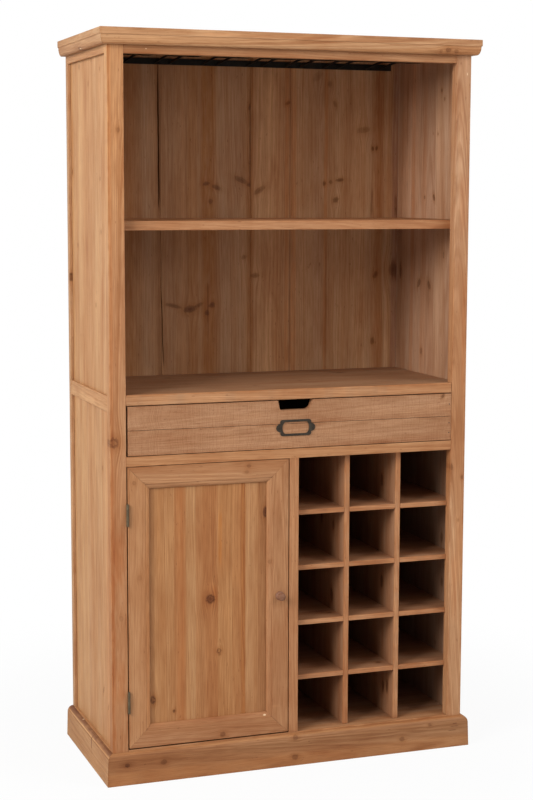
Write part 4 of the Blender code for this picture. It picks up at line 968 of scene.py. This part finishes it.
low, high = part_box("door_strike_plate")
strike_heads = []
for share in SCREW_SHARES:
    spot = Vector((low.x + share * (high.x - low.x), high.y - SUNK, (low.z + high.z) / 2))
    strike_heads.append((spot, -FORWARDS, SCREW_R, SCREW_PROUD, share))
add_piece("door_strike_screws", strike_heads, PIN_STEEL, "door")

low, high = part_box("drawer_lower_front")
nail_heads = [(Vector((high.x - NAIL_IN, low.y + SUNK, z)), FORWARDS, NAIL_R, NAIL_PROUD, None)
              for z in NAIL_HEIGHTS]
add_piece("drawer_nails", nail_heads, RUSTY_NAIL, "drawer")

# Camera: place, then tilt, roll and yaw in radians, then lens and sensor in millimetres
CAMERA_AT = (-1.4518, -4.02765, 1.4278)
CAMERA_TURN = (-0.1232, -0.0027, -0.3455)
CAMERA_LENS = 75.90
SENSOR_WIDTH = 36.0
tilt, roll, yaw = CAMERA_TURN
aim = (Matrix.Rotation(yaw, 3, "Z") @ Matrix.Rotation(tilt, 3, "X") @ Matrix.Rotation(roll, 3, "Y")
       @ Matrix.Rotation(math.radians(90.0), 3, "X"))
camera = bpy.data.objects.new("camera", bpy.data.cameras.new("camera"))
camera.location = CAMERA_AT
camera.rotation_mode = "QUATERNION"
camera.rotation_quaternion = aim.to_quaternion()
camera.data.sensor_width = SENSOR_WIDTH
camera.data.lens = CAMERA_LENS
bpy.context.scene.collection.objects.link(camera)
bpy.context.scene.camera = camera

# Light: place, size and power of each lamp, all aimed at the cabinet's middle
LAMPS = {
    "key": ((-4.2, -2.3, 3.1), 2.4, 250.0),
    "fill": ((3.4, -3.0, 3.0), 2.4, 105.0),
}
LAMP_TARGET = Vector((0.0, 0.0, 0.9))
# The room's light grows from low to high directions
ROOM_RISE = (-0.2, 1.0)
ROOM_LIGHT = (0.10, 0.50)
WHITE = (1.0, 1.0, 1.0, 1.0)


def soft_light(name, at, size, power):
    lamp = bpy.data.lights.new(name, "AREA")
    lamp.size = size
    lamp.energy = power
    holder = bpy.data.objects.new(name, lamp)
    holder.location = at
    holder.rotation_euler = (LAMP_TARGET - Vector(at)).to_track_quat("-Z", "Y").to_euler()
    holder.visible_camera = False
    bpy.context.scene.collection.objects.link(holder)


for name, (at, size, power) in LAMPS.items():
    soft_light(name, at, size, power)

world = bpy.data.worlds.new("studio")
world.use_nodes = True
bpy.context.scene.world = world
world.node_tree.nodes.clear()
g = Graph(world.node_tree)
direction = g.make("ShaderNodeTexCoord").outputs["Generated"]
up = g.make("ShaderNodeSeparateXYZ", {0: direction}).outputs[2]
room = g.ramp(up, *ROOM_RISE, *ROOM_LIGHT)
room_light = g.make("ShaderNodeBackground", {"Color": WHITE, "Strength": room})
paper = g.make("ShaderNodeBackground", {"Color": WHITE, "Strength": 1.0})
path = g.make("ShaderNodeLightPath").outputs
seen = g.math("MAXIMUM", path["Is Camera Ray"],
              g.math("MAXIMUM", path["Is Glossy Ray"], path["Is Transmission Ray"]))
blend = g.make("ShaderNodeMixShader", {0: seen, 1: room_light.outputs[0], 2: paper.outputs[0]})
surface = g.make("ShaderNodeOutputWorld")
g.feed(surface.inputs["Surface"], blend.outputs[0])

# Floor
FLOOR_REACH = 9.0
FLOOR_SIDES = 96
FLOOR_DROP = 0.0004
MOTTLE_RATE = 6.0
FLOOR_PALE = (0.78, 0.78, 0.78, 1.0)
FLOOR_DULL = (0.74, 0.74, 0.74, 1.0)
# How white the camera sees the floor near the cabinet, and from how far off it is all white
NEAR_WHITE = 0.93
NEAR_EDGE = 0.5
FAR_EDGE = 1.5
floor_mesh = bpy.data.meshes.new("floor")
shape = bmesh.new()
bmesh.ops.create_circle(shape, cap_ends=True, segments=FLOOR_SIDES, radius=FLOOR_REACH)
bmesh.ops.translate(shape, verts=shape.verts, vec=(0.0, 0.0, -FLOOR_DROP))
shape.to_mesh(floor_mesh)
shape.free()
floor = bpy.data.objects.new("floor", floor_mesh)
bpy.context.scene.collection.objects.link(floor)
floor_paint = bpy.data.materials.new("floor")
floor_paint.use_nodes = True
floor_paint.node_tree.nodes.clear()
g = Graph(floor_paint.node_tree)
spot = g.make("ShaderNodeSeparateXYZ", {0: g.make("ShaderNodeTexCoord").outputs["Object"]}).outputs
away = g.math("SQRT", g.add(g.times(spot[0], spot[0]), g.times(spot[1], spot[1])))
mottle = g.noise(g.join(g.times(spot[0], MOTTLE_RATE), g.times(spot[1], MOTTLE_RATE), 0.0), 3.0)
matt = g.make("ShaderNodeBsdfDiffuse", {"Color": g.mix(mottle, FLOOR_DULL, FLOOR_PALE)})
glow = g.make("ShaderNodeEmission", {"Color": WHITE, "Strength": 1.0})
camera_ray = g.make("ShaderNodeLightPath").outputs["Is Camera Ray"]
white = g.times(g.ramp(away, NEAR_EDGE, FAR_EDGE, NEAR_WHITE, 1.0), camera_ray)
laid = g.make("ShaderNodeMixShader", {0: white, 1: matt.outputs[0], 2: glow.outputs[0]})
g.feed(g.make("ShaderNodeOutputMaterial").inputs["Surface"], laid.outputs[0])
floor_mesh.materials.append(floor_paint)

bpy.context.scene.view_settings.view_transform = "Standard"
